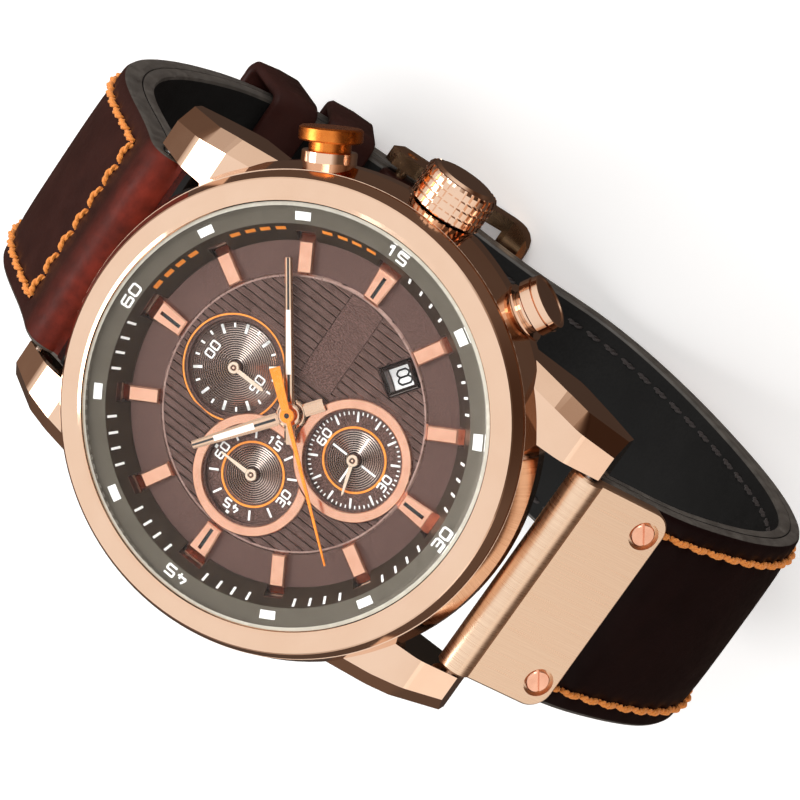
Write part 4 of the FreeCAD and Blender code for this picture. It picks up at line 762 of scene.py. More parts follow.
# For each sub-dial: its numbers as (text, angle, radius, upright), how they are drawn, and its ticks as
# (count, inner radius, outer radius, width, angles left free for the numbers).
SUB_PRINTING = {
    "nine": ([("60", 0, 3.52, True), ("15", 90, 3.52, False), ("30", 180, 3.52, True),
              ("45", 270, 3.52, False)],
             dict(tall=0.72, wide=0.78, line=0.22, gap=0.42),
             [(12, 3.25, 4.15, 0.19, (0, 90, 180, 270)), (4, 4.05, 4.32, 0.34, ())]),
    "six": ([("60", 0, 3.42, True), ("30", 180, 3.42, True)],
            dict(tall=0.72, wide=0.78, line=0.22, gap=0.42),
            [(60, 4.04, 4.34, 0.12, ()), (12, 3.4, 4.25, 0.2, (0, 180)), (4, 0.85, 2.4, 0.18, ())]),
    "twelve": ([("00", 0, 2.66, True), ("50", 180, 2.5, True)],
               dict(tall=0.8, wide=0.72, line=0.18, gap=0.36),
               [(10, 3.15, 4.0, 0.24, (0, 180)), (20, 3.55, 3.95, 0.17, ())]),
}


def sub_ticks(shape, where, count, inner, outer, wide, skip):
    """Radial lines round a sub-dial, except near the skipped angles."""
    for i in range(count):
        clock = 360.0 * i / count
        if any(abs((clock - s + 180) % 360 - 180) < 360 / count * 0.4 for s in skip):
            continue
        place = on_flat(SUB_CENTRES[where], clock, 0, PRINT_Z)
        shape.ribbon([(0, inner), (0, outer)], wide, 0, 0.02, 0, place)


def sub_dial_printing():
    """Numbers, ticks and cross lines of the three sub-dials."""
    shape = Shape()
    for where, (numbers, style, ticks) in SUB_PRINTING.items():
        for text, clock, radius, upright in numbers:
            place = on_flat(SUB_CENTRES[where], clock, radius, PRINT_Z, upright)
            write_number(shape, text, place=place, **style)
        for row in ticks:
            sub_ticks(shape, where, *row)
    piece(shape, "sub_dial_printing", "case", PRINT_WHITE)


def sub_dial_rings_orange():
    """The thin orange lines round the sub-dials."""
    shape = Shape()
    for where, middle, wide, floor, rise in (("nine", 2.9, 0.2, SUB_FLOOR, 0.07),
                                             ("six", 2.9, 0.2, SUB_FLOOR, 0.07),
                                             ("twelve", 4.78, 0.16, DIAL_TOP, 0.1)):
        inner, outer = middle - wide / 2, middle + wide / 2
        low, high = floor - 0.01, floor + rise
        outline = [(inner, low), (outer, low), (outer, high), (inner, high)]
        shape.lathe(outline, SUB_CENTRES[where], steps=120)
    piece(shape, "sub_dial_orange_rings", "case", RING_ORANGE, bevel=0.02)


def twelve_step():
    """The plain stepped rim round the 12 o'clock sub-dial, inside its orange line."""
    shape = Shape()
    inner, step, outer = 4.38, 4.62, 4.88
    outline = [(inner, SUB_FLOOR), (4.7, DIAL_TOP - 0.01), (outer, DIAL_TOP - 0.01),
               (outer, DIAL_TOP + 0.08), (step, DIAL_TOP + 0.08), (inner, SUB_FLOOR + 0.12)]
    shape.lathe(outline, SUB_CENTRES["twelve"], steps=120)
    piece(shape, "twelve_sub_dial_rim", "case", LOOKS["dial_brown"])


TICK_SHARES = (0.25, 0.42, 0.58, 0.75)
NUMBER_RADIUS, TICK_RADIUS = 17.72, 16.55
QUARTER_TEXTS = {0: "60", 3: "15", 6: "30", 9: "45"}


def flange_marks():
    """White numbers and blocks on the chapter ring's flat and white or orange dashes on its slope."""
    shape = Shape()
    block = [(-0.72, -0.38), (0, -0.38), (0.72, -0.38), (0.72, 0.38), (0, 0.38), (-0.72, 0.38)]
    orange_dash, white_dash = bar(0.46, -0.15, 0.15), bar(0.115, -0.3, 0.3)
    for hour in range(12):
        if hour in QUARTER_TEXTS:
            place = on_flange(hour * 30.0, NUMBER_RADIUS, inward=hour == 6)
            write_number(shape, QUARTER_TEXTS[hour], 0.84, place, wide=1.08, line=0.23, gap=0.4,
                         thick=0.025)
        else:
            shape.prism(block, 0.003, 0.025, 0, on_flange(hour * 30.0, NUMBER_RADIUS))
        for share in TICK_SHARES:
            place = on_flange((hour + share) * 30, TICK_RADIUS)
            if hour < 3:
                shape.prism(orange_dash, 0.01, 0.05, 1, place)
            else:
                shape.prism(white_dash, 0.01, 0.05, 0, place)
    piece(shape, "chapter_ring_printing", "case", [PRINT_WHITE, RING_ORANGE])


NOTCH_FROM, NOTCH_MIDDLE, NOTCH_TO = 16.27, 16.3, 16.32


def flange_notches():
    """The brown lacquered end walls of the recesses into which the hour markers run."""
    shape = Shape()
    for hour in range(12):
        half = 1.2 if hour in QUARTER_TEXTS else 0.85
        shape.prism(bar(half, NOTCH_FROM, NOTCH_TO), DIAL_TOP + 0.02, flange_height(NOTCH_MIDDLE) + 0.03, 0,
                    facing(hour * 30.0))
    piece(shape, "chapter_ring_notches", "case", NOTCH)


SLOT_HALF, SLOT_FROM, SLOT_TO = 0.165, 12.75, 14.75


def marker_slots():
    """Black lacquer in the slots of the four quarter markers."""
    shape = Shape()
    outline = bar(SLOT_HALF, SLOT_FROM, SLOT_TO)
    for clock in (0, 90, 180, 270):
        shape.prism(outline, DIAL_TOP + 0.1, MARKER_TOP - 0.13, 0, facing(clock))
    piece(shape, "marker_slot_lacquer", "case", PRINT_BLACK)


def date_numbers():
    """The days 1 to 31 round the date disc, with 8 in the window at rest."""
    shape = Shape()
    top = corner("date_disc", 1).z
    shown, days = 8, 31
    for day in range(1, days + 1):
        clock = 90 - DATE_ANGLE + (day - shown) * 360 / days
        outward = on_flat((0, 0), clock, DATE_RADIUS, top)
        place = lambda right, up, off, spot=outward: spot(-up, right, off)
        wide = 1.0 if day < 10 else 0.56
        write_number(shape, str(day), 1.3, place, wide=wide, line=0.14, gap=0.22, thick=0.015, cut=0.36)
    piece(shape, "date_numbers", "date_disc", PRINT_BLACK, bevel=0.02)


def date_chute():
    """The sloped steel walls between the date window's frame and the date disc."""
    shape = Shape()
    top, low = DIAL_TOP + 0.28, corner("date_disc", 1).z + 0.06
    loops = []
    for long, wide, z in ((2.72, 2.5, top), (2.26, 1.9, low), (2.3, 1.94, low), (2.76, 2.54, top)):
        loops.append([(x, y, z) for x, y in date_corners(long, wide)])
    # One wall, which faces up and out, is painted lighter as if lit.
    shape.sweep(loops, closed=True, kinds=[0, 1, 0, 0])
    piece(shape, "date_window_walls", "case", [WINDOW_DARK, WINDOW_PAINTED_LIGHT])


# ---------------------------------------------------------------- hands
HAND_SHAPES = {
    "hour": dict(clock=306.6, low=9.62, thick=0.24, length=9.75, tail=3.2, half=0.56, tip_half=0.36,
                 hub=1.4, lume_from=3.6, lume_to=7.6),
    "minute": dict(clock=54.3, low=10.1, thick=0.22, length=13.9, tail=2.6, half=0.46, tip_half=0.33,
                   hub=1.08, lume_from=3.6, lume_to=9.3),
}
CHRONO_ANGLE, CHRONO_LENGTH = 219.6, 13.6


def faceted_hand(body, clock, low, thick, length, tail, half, tip_half, hub, lume_from, lume_to):
    """A bar hand with bevelled flanks, a cream lume stripe and black lines before and after it."""
    shape = Shape()
    place = facing(clock)
    top, shoulder = low + thick, low + thick * 0.45
    loops = []
    for y, w in ((-tail, half * 0.95), (-tail + 0.25, half * 1.05), (0, half), (lume_from, half),
                 (length, tip_half)):
        section = [(-w, low), (w, low), (w, shoulder), (w * 0.62, top), (-w * 0.62, top), (-w, shoulder)]
        loops.append([place(x, y, z) for x, z in section])
    shape.sweep(loops)
    bore = 0.62
    shape.lathe([(hub - 0.1, low + 0.02), (hub, low + thick * 0.6), (hub - 0.12, top + 0.04),
                 (bore, top + 0.04), (bore, low + 0.02)], steps=48)
    stripe, line = half * 0.5, 0.09
    shape.prism(bar(stripe, lume_from, lume_to, stripe * 0.85), top - 0.05, top + 0.035, 1, place)
    for outline in (bar(line, lume_to, length - 0.02), bar(line * 1.3, hub + 0.1, lume_from)):
        shape.prism(outline, top - 0.05, top + 0.012, 2, place)
    looks = [LOOKS["rose_gold"], LUME, PRINT_BLACK]
    piece(shape, body + "_hand_detailed", body, looks, [body + "_hand"], crease=20)


def chrono_hand():
    """The orange central seconds hand: a fine needle, a small hub and a broad bar behind it."""
    low, high = corner("chrono_seconds_hand", 0).z, corner("chrono_seconds_hand", 1).z
    shape = Shape()
    middle = high - 0.2
    for outline in (bar(0.5, -4.4, -0.4, 0.36), bar(0.2, 0.4, CHRONO_LENGTH, 0.075)):
        shape.prism(outline, middle, high - 0.02, 0, facing(CHRONO_ANGLE))
    bore, neck, rim = 0.24, 0.5, 0.66
    shape.lathe([(bore, low), (neck, low), (neck, middle - 0.02), (rim, middle - 0.02), (rim, high - 0.05),
                 (0.6, high), (bore, high)], steps=48)
    shape.disc((0, 0), 0.27, high - 0.1, high - 0.04, kind=1)
    shape.disc((0, 0), 0.12, high - 0.05, high, kind=1)
    looks = [LOOKS["orange_lacquer"], PRINT_BLACK]
    piece(shape, "chrono_hand_detailed", "chrono_seconds", looks,
          ["chrono_seconds_hand"], bevel=0.02)


def sub_dial_hand(node, where, body, clock, length, half, tip_half):
    """A small bar hand on a ringed hub with a lacquered pin in its centre."""
    low, high = corner(node, 0).z, corner(node, 1).z
    shape = Shape()
    centre = SUB_CENTRES[where]
    shoulder = length - 0.25
    outline = [(-half, 0.3), (half, 0.3), (tip_half, shoulder), (0, length), (-tip_half, shoulder)]
    shape.prism(outline, high - 0.16, high - 0.03, 0, on_flat(centre, clock, 0, 0))
    bore, neck, rim = 0.24, 0.4, 0.56
    shape.lathe([(bore, low), (neck, low), (neck, high - 0.2), (rim, high - 0.2), (rim, high - 0.05),
                 (0.5, high), (0.3, high), (bore, high - 0.05)], centre, 40)
    shape.disc(centre, 0.25, high - 0.16, high - 0.07, kind=1)
    shape.disc(centre, 0.11, high - 0.08, high - 0.02)
    piece(shape, node + "_detailed", body, [LOOKS["pale_rose"], NOTCH], [node], bevel=0.02)


def hands():
    for body, size in HAND_SHAPES.items():
        faceted_hand(body, **size)
    chrono_hand()
    for node, where, body, clock, length, half, tip_half in (
            ("split_hand", "twelve", "split_seconds", 180.0, 3.45, 0.2, 0.17),
            ("minute_counter_hand", "nine", "minute_counter", 0.0, 3.45, 0.22, 0.09),
            ("small_seconds_hand", "six", "small_seconds", 252.0, 3.3, 0.2, 0.1)):
        sub_dial_hand(node, where, body, clock, length, half, tip_half)


# ---------------------------------------------------------------- push-piece springs
COIL_RADIUS, WIRE_RADIUS, COIL_TURNS = 1.2, 0.16, 2


def push_spring(node, clock, start, end):
    """The coil behind a push-piece, wound from its seat to the push-piece."""
    shape = Shape()
    along, up = polar(1.0, clock), Vector((0.0, 0.0, 1.0))
    across = along.cross(up)
    level = up * (corner("crown", 0).z + corner("crown", 1).z) / 2
    steps = 24
    rise = (end - start - 2 * WIRE_RADIUS) / (steps * COIL_TURNS)
    loops = []
    for i in range(steps * COIL_TURNS + 1):
        a = 2 * math.pi * i / steps
        outward = across * math.cos(a) + up * math.sin(a)
        middle = level + along * (start + WIRE_RADIUS + rise * i) + outward * COIL_RADIUS
        loops.append(round_section(middle, outward, along, WIRE_RADIUS, 8))
    shape.sweep(loops)
    made = piece(shape, node + "_coil", "case", LOOKS["spring_steel"], [node])
    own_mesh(made)


# ---------------------------------------------------------------- strap
BEND_Y, BEND_Z, BEND_RADIUS = 14.9, -25.4, 21.5
TAIL_LIFT = 2.8


def bend_point(angle, lift=0.0):
    """A point on the round stretch of the strap on the 12 o'clock side; angle is above the horizon."""
    a = math.radians(angle)
    reach = BEND_RADIUS + lift
    return BEND_Y + reach * math.cos(a), BEND_Z + reach * math.sin(a)


CASE_ROLL_RADIUS, FOLD_RADIUS = 2.3, 1.95
BAR_Y, BAR_Z = 23.9, 4.4
ROLL_TURNS = [math.radians(a) for a in (200, 175, 150, 125, 100, 75, 52)]
# Outer faces of the two strap halves in side view (y, z), from the case to the free end
SHORT_OUTER = [(BAR_Y + CASE_ROLL_RADIUS * math.cos(a), BAR_Z + CASE_ROLL_RADIUS * math.sin(a))
               for a in ROLL_TURNS]
SHORT_OUTER += [(26.9, 4.3), (28.5, 2.0), (32.0, -2.3), (35.0, -6.6), (37.0, -11.8), (37.7, -18.2)]
SHORT_OUTER += [bend_point(angle) for angle in (-14, -26, -38, -50, -62, -74, -84)]
LONG_OUTER = [(-25.1, 2.7), (-28.3, -0.05), (-31.5, -3.0), (-35.0, -8.3), (-37.8, -14.6), (-39.1, -21.5),
              (-38.2, -28.6), (-35.2, -34.8), (-30.6, -40.2), (-24.6, -45.0), (-17.6, -48.8),
              (-10.5, -50.85), (-5.0, -50.6), (-0.5, -49.2), (3.5, -48.6), (7.5, -48.5), (12.0, -49.0)]
LONG_OUTER += [bend_point(angle, TAIL_LIFT) for angle in (-82, -72, -62, -52, -42, -34)]
LOOP_MIDDLE = np.array([0.0, -22.0])


class Line:
    """A smooth curve in the Y-Z plane through given corners, followed by its length."""

    def __init__(self, corners, step=0.4):
        spots = np.array(corners, float)
        at = np.concatenate([[0.0], np.cumsum(np.linalg.norm(np.diff(spots, axis=0), axis=1))])
        bends = self.natural_bends(at, spots)
        fine = np.linspace(0, at[-1], 1200)
        dense = np.array([self.value(at, spots, bends, t) for t in fine])
        run = np.concatenate([[0.0], np.cumsum(np.linalg.norm(np.diff(dense, axis=0), axis=1))])
        self.length = run[-1]
        self.count = int(self.length / step) + 1
        self.runs = np.linspace(0, self.length, self.count)
        self.share = np.interp(self.runs, run, fine / at[-1])
        self.spots = np.stack([np.interp(self.runs, run, dense[:, k]) for k in (0, 1)], 1)
        along = np.gradient(self.spots, axis=0)
        along /= np.linalg.norm(along, axis=1)[:, None]
        inward = np.stack([-along[:, 1], along[:, 0]], 1)
        flip = np.sign(np.sum(inward * (LOOP_MIDDLE - self.spots), axis=1))
        self.inward = inward * flip[:, None]

    @staticmethod
    def natural_bends(at, spots):
        """Second derivatives of the natural cubic spline through the corners."""
        count = len(at)
        gaps = np.diff(at)
        left, right = np.eye(count), np.zeros((count, 2))
        for i in range(1, count - 1):
            left[i, i - 1:i + 2] = gaps[i - 1], 2 * (gaps[i - 1] + gaps[i]), gaps[i]
            right[i] = 6 * ((spots[i + 1] - spots[i]) / gaps[i] - (spots[i] - spots[i - 1]) / gaps[i - 1])
        return np.linalg.solve(left, right)

    @staticmethod
    def value(at, spots, bends, t):
        i = min(max(int(np.searchsorted(at, t)) - 1, 0), len(at) - 2)
        gap = at[i + 1] - at[i]
        a, b = (at[i + 1] - t) / gap, (t - at[i]) / gap
        return (a * spots[i] + b * spots[i + 1]
                + ((a ** 3 - a) * bends[i] + (b ** 3 - b) * bends[i + 1]) * gap ** 2 / 6)

    def point(self, run, depth, x):
        """The point at a length along the line, a depth below it and a distance across the strap."""
        y, z = (float(np.interp(run, self.runs, self.spots[:, k])) for k in (0, 1))
        ny, nz = (float(np.interp(run, self.runs, self.inward[:, k])) for k in (0, 1))
        return Vector((x, y + ny * depth, z + nz * depth))

    def depth(self, run, stops):
        """A depth at one length, read from its values at the two ends or from (length, depth) stops."""
        share = float(np.interp(run, self.runs, self.share))
        if len(stops) == 2:
            return stops[0] + (stops[1] - stops[0]) * share
        return float(np.interp(run, [r for r, _ in stops], [d for _, d in stops]))

    def run_at(self, y, z):
        """The length along the line of its point nearest to (y, z)."""
        return float(self.runs[np.argmin(np.hypot(self.spots[:, 0] - y, self.spots[:, 1] - z))])


HALF_WIDE, HALF_NARROW = 10.8, 10.2
TAPER_FROM, TAPER_TO = -16.0, -44.0
TIP_LENGTH = 9.0
SIDE_STITCH_X, NARROWING = 8.7, 0.6
STITCH_PITCH, STITCH_LONG = 2.6, 2.15
STITCH_RISE, STITCH_SINK = 0.46, 0.28
DENT_DEEP, DENT_RADIUS = 0.30, 0.42
DIMPLE_DEEP, DIMPLE_RADIUS = 0.10, 1.1
HOLE_SPACING, HOLE_HALF_LONG, HOLE_HALF_WIDE = 7.0, 1.35, 1.0
CUT_ABOVE, CUT_BELOW = -3.0, 6.0


def strap_half(line, run, tip):
    """Half the strap's width at a length along it. The free tail ends in a rounded tip."""
    z = float(np.interp(run, line.runs, line.spots[:, 1]))
    share = min(1.0, max(0.0, (TAPER_FROM - z) / (TAPER_FROM - TAPER_TO)))
    half = HALF_WIDE + (HALF_NARROW - HALF_WIDE) * share - 0.05
    if tip and run > line.length - TIP_LENGTH:
        part = (run - (line.length - TIP_LENGTH)) / TIP_LENGTH
        half *= math.sqrt(max(0.0, 1 - 0.93 * part ** 2.4))
    return half


def strap_layer(line, top, under, holes, tip=False, corner_round=0.75, low_round=0.2, crown=0.3):
    """One leather layer: a skin of rounded sections, dented along its stitch holes."""
    shape = Shape()
    across = 44
    loops = []
    hole_spots = np.array(holes if holes else [(-99.0, 0.0)])
    for run in line.runs:
        low, high = line.depth(run, top), line.depth(run, under)
        thick = high - low
        half = strap_half(line, run, tip)
        rounded = min(corner_round, thick * 0.48)
        foot = min(low_round, thick * 0.3)
        section = []
        for k in range(across + 1):
            x = (half - rounded) * (2 * k / across - 1)
            near = np.hypot(hole_spots[:, 0] - run, (hole_spots[:, 1] - x)).min()
            dent = DENT_DEEP * math.exp(-(near / DENT_RADIUS) ** 2)
            dent += DIMPLE_DEEP * math.exp(-((near / DIMPLE_RADIUS) ** 2))
            section.append((x, low + crown * abs(x / half) ** 3 + dent))
        edge = crown * (1 - rounded / half) ** 3
        turn = [(half - rounded + rounded * math.sin(a),
                 low + edge + (rounded - edge * 0.5) * (1 - math.cos(a)))
                for a in (math.radians(d) for d in (25, 50, 75, 90))]
        foot_turn = [(half, high - foot), (half - foot * 0.3, high - foot * 0.3), (half - foot, high)]
        right = turn + foot_turn
        section += right
        section += [(x * 0.5, high) for x in (half, 0, -half)]
        section += [(-x, d) for x, d in reversed(right)]
        loops.append([line.point(run, d, x) for x, d in section])
    size = len(loops[0])
    painted = [*range(across + 2, across + 7), *range(size - 7, size - 1)]
    kinds = [1 if k in painted else 0 for k in range(size)]
    shape.sweep(loops, kinds=kinds)
    return shape


def rope(shape, path, radius, pitch, strands=2, sides=6):
    """Twisted strands along a short path of points."""
    spots = [Vector(p) for p in path]
    for strand in range(strands):
        loops = []
        length = 0.0
        for i, spot in enumerate(spots):
            along = (spots[min(i + 1, len(spots) - 1)] - spots[max(i - 1, 0)]).normalized()
            if i:
                length += (spot - spots[i - 1]).length
            side = along.cross(Vector((0.31, 0.47, 0.83))).normalized()
            up = side.cross(along)
            a = 2 * math.pi * (length / pitch + strand / strands)
            middle = spot + (side * math.cos(a) + up * math.sin(a)) * radius * 0.42
            thin = radius * (0.6 if i in (0, len(spots) - 1) else 1.0)
            loops.append(round_section(middle, side, up, thin * 0.72, sides))
        shape.sweep(loops)


def arch(share):
    """The height of a round-backed stitch along its length, from 0 at both ends to 1 halfway."""
    return math.sin(math.pi * share) ** 0.6


def stitch(shape, line, start, end, depth, radius, outward):
    """One stitch between two holes, given as (run, x). It rises out of the leather and dives back."""
    path = []
    steps = 12
    for i in range(steps + 1):
        share = i / steps
        run = start[0] + (end[0] - start[0]) * share
        x = start[1] + (end[1] - start[1]) * share
        rise = arch(share) * STITCH_RISE - STITCH_SINK
        path.append(line.point(run, depth(run) - outward * rise, x))
    rope(shape, path, radius, pitch=1.5)


def stitch_row(shape, line, corners, depth, holes, radius=0.3, outward=1.0):
    """Stitches along straight runs between corners, each corner given as (run, x)."""
    for (r0, x0), (r1, x1) in zip(corners, corners[1:]):
        long = math.hypot(r1 - r0, x1 - x0)
        count = max(1, round(long / STITCH_PITCH))
        for i in range(count):
            a, b = i / count, (i + 1) / count
            gap = (b - a) * (1 - STITCH_LONG / STITCH_PITCH) / 2
            start = (r0 + (r1 - r0) * (a + gap), x0 + (x1 - x0) * (a + gap))
            end = (r0 + (r1 - r0) * (b - gap), x0 + (x1 - x0) * (b - gap))
            stitch(shape, line, start, end, depth, radius, outward)
            holes += [start, end]


def cut_holes(target, cutters):
    """Cut real holes through a piece and leave its mesh whole."""
    tool = new_object("hole_cutter", mesh_of(cutters, "hole_cutter"))
    cut = target.modifiers.new("holes", "BOOLEAN")
    cut.object = tool
    cut.operation = "DIFFERENCE"
    cut.solver = "EXACT"
    bpy.context.view_layer.update()
    shown = target.evaluated_get(bpy.context.evaluated_depsgraph_get())
    made = bpy.data.meshes.new_from_object(shown)
    target.modifiers.remove(cut)
    target.data = made
    bpy.data.objects.remove(tool)
    smooth(made, 40)


def capsule(shape, line, run, half_long, half_wide, steps=8):
    """A cutter for a round-ended hole through the strap, lying along it."""
    outline = []
    for end, first in ((1, -90), (-1, 90)):
        for i in range(steps + 1):
            a = math.radians(first + 180 * i / steps)
            outline.append((run + end * (half_long - half_wide) + half_wide * math.cos(a),
                            half_wide * math.sin(a)))
    shape.sweep([[line.point(r, d, x) for r, x in outline] for d in (CUT_ABOVE, CUT_BELOW)])


def on_top(run):
    """How deep the ends of the outer stitches sit, the same all along the strap."""
    return 0.12


def strap_layers(name, line, between, total, holes, cutters, lining_rounds, tip=False):
    """A strap half's outer leather and its lining, both cut through by the same holes."""
    corner_round, low_round = lining_rounds
    layers = {"leather": strap_layer(line, (0.0, 0.0), between, holes, tip),
              "lining": strap_layer(line, between, total, [], tip, corner_round, low_round, crown=0.0)}
    for layer, slot in (("leather", "brown_leather"), ("lining", "black_lining")):
        node = name + "_" + layer
        made = piece(layers[layer], node + "_detailed", "case", [LOOKS[slot], EDGE_PAINT], [node],
                     crease=50)
        cut_holes(made, cutters)


def long_strap():
    """The 6 o'clock half: under the end plate, round under the wrist and through the buckle to its tip."""
    line = Line(LONG_OUTER)
    between, total = (1.6, 1.3), (2.8, 2.4)
    threads, holes = Shape(), []
    start, end, point = 6.6, line.length - TIP_LENGTH - 2.0, 4.5
    reach = SIDE_STITCH_X - NARROWING
    for side in (-1, 1):
        corners = [(start, side * SIDE_STITCH_X), (end * 0.5, side * (SIDE_STITCH_X - 0.3)),
                   (end, side * reach)]
        stitch_row(threads, line, corners, on_top, holes)
    stitch_row(threads, line, [(end, -reach), (end + point, 0.0), (end, reach)], on_top, holes)
    cutters = Shape()
    tongue_run = line.run_at(11.7, -49.0)
    capsule(cutters, line, tongue_run, half_long=3.8, half_wide=1.15)
    for step in (-3, -2, -1, 1, 2):
        gap = 2.0 if step > 0 else -1.0
        capsule(cutters, line, tongue_run + step * HOLE_SPACING + gap, HOLE_HALF_LONG, HOLE_HALF_WIDE)
    strap_layers("strap_long", line, between, total, holes, cutters, lining_rounds=(0.2, 0.5), tip=True)
    piece(threads, "strap_long_stitching", "case", ORANGE_THREAD, crease=60)
    under_threads = Shape()
    for side in (-1, 1):
        stitch_row(under_threads, line, [(12.0, side * SIDE_STITCH_X), (end, side * reach)],
                   lambda run: line.depth(run, total) - 0.1, holes=[], radius=0.22, outward=-1.0)
    piece(under_threads, "strap_long_lining_stitching", "case", DARK_THREAD, crease=60)


def short_strap():
    """The 12 o'clock half, padded at the case and folded round the buckle's hinge bar."""
    line = Line(SHORT_OUTER)
    over_bar = line.run_at(*SHORT_OUTER[5])
    padded = over_bar + 5.0
    between = ((0.0, 1.2), (over_bar, 1.3), (padded, 2.6), (line.length, 1.2))
    total = ((0.0, 1.45), (over_bar, 1.6), (padded, 4.1), (line.length, 2.4))
    threads, holes = Shape(), []
    box_run, buckle_run = line.run_at(28.3, 2.3), line.length - 9.0
    reach = SIDE_STITCH_X - NARROWING
    for side in (-1, 1):
        corners = [(box_run, side * SIDE_STITCH_X), (line.length * 0.5, side * (SIDE_STITCH_X - 0.2)),
                   (buckle_run, side * reach)]
        stitch_row(threads, line, corners, on_top, holes)
    for run, half in ((box_run, SIDE_STITCH_X), (buckle_run, reach)):
        stitch_row(threads, line, [(run, -half), (run, half)], on_top, holes)
    cutters = Shape()
    capsule(cutters, line, line.length, half_long=4.0, half_wide=1.3)
    strap_layers("strap_short", line, between, total, holes, cutters, lining_rounds=(0.25, 0.6))
    piece(threads, "strap_short_stitching", "case", ORANGE_THREAD, crease=60)
    case_roll, buckle_fold = Shape(), Shape()
    leather_roll(case_roll, BAR_Y, BAR_Z, CASE_ROLL_RADIUS - 0.5, -HALF_WIDE + 0.3, HALF_WIDE - 0.3)
    hinge_y, hinge_z = (corner("buckle_hinge_bar", 0) + corner("buckle_hinge_bar", 1)).yz / 2
    for side in (-1, 1):
        ends = sorted((side * 1.35, side * (HALF_NARROW - 0.05)))
        leather_roll(buckle_fold, hinge_y, hinge_z, FOLD_RADIUS, *ends)
    for shape, name in ((case_roll, "strap_short_case_roll"), (buckle_fold, "strap_short_buckle_fold")):
        piece(shape, name, "case", LOOKS["brown_leather"], crease=50)


def leather_roll(shape, y, z, radius, x_low, x_high, steps=40):
    """A fold of leather round a bar that runs along X, with softly rounded ends."""
    rounding = 0.5
    turns = [2 * math.pi * k / steps for k in range(steps)]
    stations = [(x_low, radius - rounding), (x_low + rounding * 0.3, radius - rounding * 0.3),
                (x_low + rounding, radius), (x_high - rounding, radius),
                (x_high - rounding * 0.3, radius - rounding * 0.3), (x_high, radius - rounding)]
    shape.sweep([[(x, y + r * math.cos(a), z + r * math.sin(a)) for a in turns] for x, r in stations])


KEEPER_WIDE, KEEPER_THICK = 5.2, 1.1
KEEPER_INSIDE_HALF = 10.65
KEEPER_LOW, KEEPER_HIGH = -3.2, 3.1
KEEPER_STITCHES = 8


def keeper(node, body, angle):
    """A stitched leather loop round both straps, with rounded corners and edges."""
    shape, threads = Shape(), Shape()
    y, z = bend_point(angle)
    a = math.radians(angle)
    outward, along = Vector((0, math.cos(a), math.sin(a))), Vector((0, -math.sin(a), math.cos(a)))
    centre = Vector((0, y, z))
    middle = KEEPER_THICK / 2
    half, low, high = KEEPER_INSIDE_HALF + middle, KEEPER_LOW - middle, KEEPER_HIGH + middle
    rounding = 1.1
    side, top, bottom = half - rounding, high - rounding, low + rounding
    path = []
    for cx, cy, first in ((side, top, 0), (-side, top, 90), (-side, bottom, 180), (side, bottom, 270)):
        for i in range(7):
            b = math.radians(first + 15 * i)
            nx, ny = math.cos(b), math.sin(b)
            path.append((cx + rounding * nx, cy + rounding * ny, nx, ny))
    edge, wide = 0.3, KEEPER_WIDE / 2
    section = [(-wide, -middle + edge), (-wide + edge, -middle), (wide - edge, -middle),
               (wide, -middle + edge), (wide, middle - edge), (wide - edge, middle), (0, middle + 0.12),
               (-wide + edge, middle), (-wide, middle - edge)]

    def spot(px, pr, nx, nr, v, u):
        return centre + Vector((px + nx * u, 0, 0)) + outward * (pr + nr * u) + along * v
    shape.sweep([[spot(*p, v, u) for v, u in section] for p in path], closed=True)
    piece(shape, node + "_detailed", body, LOOKS["brown_leather"], [node], crease=50)
    first, span = -half + 1.6, 2 * half - 3.2
    for v in (-wide + 0.9, wide - 0.9):
        for i in range(KEEPER_STITCHES):
            x0, x1 = (first + span * (i + share) / KEEPER_STITCHES for share in (0.1, 0.9))
            run = []
            for k in range(7):
                share = k / 6
                rise = middle + 0.05 + arch(share) * 0.2 - 0.1
                run.append(spot(x0 + (x1 - x0) * share, high, 0, 1, v, rise))
            rope(threads, run, radius=0.2, pitch=0.9)
    piece(threads, node + "_stitching", body, DARK_THREAD, crease=60)


# ---------------------------------------------------------------- stage
CAMERA_TARGET = Vector((7.62, -7.61, 11.5)) * MM
CAMERA_AZIMUTH, CAMERA_ELEVATION, CAMERA_ROLL = 53.208, 70.963, -106.786
CAMERA_DISTANCE = 428.47 * MM
CAMERA_LENS, SENSOR = 221.59, 36.0


def toward(azimuth, elevation):
    """A unit direction from two angles in degrees. Azimuth 0 is towards 6 o'clock, 90 towards 3 o'clock."""
    a, e = math.radians(azimuth), math.radians(elevation)
    return Vector((math.sin(a) * math.cos(e), -math.cos(a) * math.cos(e), math.sin(e)))


def camera():
    back, roll = toward(CAMERA_AZIMUTH, CAMERA_ELEVATION), math.radians(CAMERA_ROLL)
    level_right = Vector((0, 0, 1)).cross(back).normalized()
    level_up = back.cross(level_right)
    right = level_right * math.cos(roll) + level_up * math.sin(roll)
    up = back.cross(right)
    lens = bpy.data.cameras.new("camera")
    lens.lens, lens.sensor_width = CAMERA_LENS, SENSOR
    lens.clip_start, lens.clip_end = 0.01, 10.0
    made = new_object("camera", lens)
    turn = Matrix((right, up, back)).transposed()
    made.matrix_world = Matrix.Translation(CAMERA_TARGET + back * CAMERA_DISTANCE) @ turn.to_4x4()
    bpy.context.scene.camera = made


def lamp(name, azimuth, elevation, distance, wide, tall, power, colour=(1, 1, 1)):
    """A softbox that faces the watch from a direction and a distance in metres."""
    direction = toward(azimuth, elevation)
    data = bpy.data.lights.new(name, "AREA")
    data.shape = "RECTANGLE"
    data.size, data.size_y = wide, tall
    data.energy = power
    data.color = colour
    made = new_object(name, data)
    made.location = direction * distance
    made.rotation_euler = direction.to_track_quat("Z", "Y").to_euler()


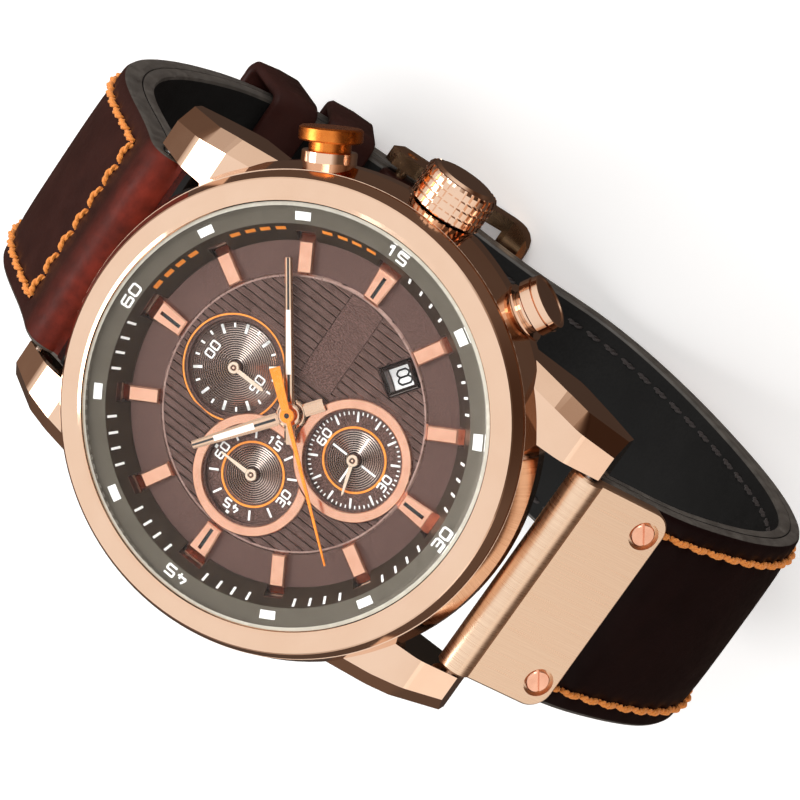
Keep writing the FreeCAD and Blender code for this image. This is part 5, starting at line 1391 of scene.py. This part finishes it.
def surroundings():
    """A soft studio: bright overhead, dark below and in one warm patch, so that metal shows contrast."""
    world = bpy.data.worlds.new("studio")
    world.use_nodes = True
    studio = Nodes(world.node_tree)
    where = studio.node("TexCoord").outputs["Generated"]

    def nearness(axis):
        """How near the view direction is to one direction: 0 for away from it, 1 for straight at it."""
        dot = studio.node("VectorMath", operation="DOT_PRODUCT")
        dot.inputs[1].default_value = Vector(axis).normalized()
        studio.link(where, dot.inputs[0])
        return studio.range(dot.outputs["Value"], 0.0, 1.0, -1.0, 1.0)

    height = studio.ramp(nearness((0, 0, 1)), (0.0, (0.05, 0.035, 0.028)), (0.44, (0.16, 0.11, 0.085)),
                         (0.51, (0.42, 0.36, 0.32)), (0.58, (0.75, 0.71, 0.67)),
                         (0.72, (0.88, 0.86, 0.84)), (1.0, (0.9, 0.9, 0.9)))
    shade = studio.ramp(nearness((0.5, -0.78, 0.22)), (0.0, (1.0, 1.0, 1.0)), (0.82, (1.0, 1.0, 1.0)),
                        (0.9, (0.45, 0.36, 0.30)), (0.96, (0.12, 0.08, 0.06)), (1.0, (0.10, 0.07, 0.05)))
    background = world.node_tree.nodes["Background"]
    studio.link(studio.multiply(height, shade), background.inputs["Color"])
    background.inputs["Strength"].default_value = 1.15
    bpy.context.scene.world = world
    bpy.context.scene.view_settings.view_transform = "Standard"


def studio_floor():
    """A pale paper floor on which the strap stands."""
    mesh = bpy.data.meshes.new("studio_floor")
    reach, clearance = 1.5, 0.0001
    mesh.from_pydata([(x, y, CAD_LOW.z - clearance) for x, y in bar(reach, -reach, reach)], [],
                     [(0, 1, 2, 3)])
    made = new_object("studio_floor", mesh)
    look = Look("studio_paper", specular_ior_level=0.2, emission_strength=0.2)
    look.shader.inputs["Emission Color"].default_value = (1.0, 1.0, 1.0, 1.0)
    look.colour(look.ramp(look.noise(40.0), (0.3, (0.94, 0.94, 0.94)), (0.7, (0.96, 0.96, 0.96))))
    look.roughness(look.range(look.noise(3.0), 0.7, 0.85))
    mesh.materials.append(look.material)
    made.visible_glossy = False  # metal that faces down mirrors the dark end of the surroundings instead


def lights():
    lamp("key_softbox", azimuth=205, elevation=38, distance=0.75, wide=0.4, tall=0.4, power=2.2)
    lamp("fill_softbox", azimuth=110, elevation=48, distance=0.9, wide=0.4, tall=0.4, power=1.6)
    lamp("plate_softbox", azimuth=344, elevation=22, distance=0.7, wide=0.35, tall=0.3, power=0.1,
         colour=(1.0, 0.97, 0.94))


def build():
    camera()
    surroundings()
    studio_floor()
    lights()
    dress_nodes()
    dial_slats()
    dial_centre()
    for where, outer in (("twelve", 4.3), ("nine", 2.8), ("six", 2.8)):
        azurage(where, inner=0.6, outer=outer)
    twelve_step()
    sub_dial_rings_orange()
    sub_dial_printing()
    flange_notches()
    flange_marks()
    marker_slots()
    date_numbers()
    date_chute()
    hands()
    push_spring("upper_push_spring", clock=60, start=21.7, end=22.7)
    push_spring("lower_push_spring", clock=120, start=21.0, end=22.1)
    long_strap()
    short_strap()
    keeper("fixed_keeper", "case", angle=-65.0)
    keeper("sliding_keeper", "sliding_keeper", angle=-44.0)


build()
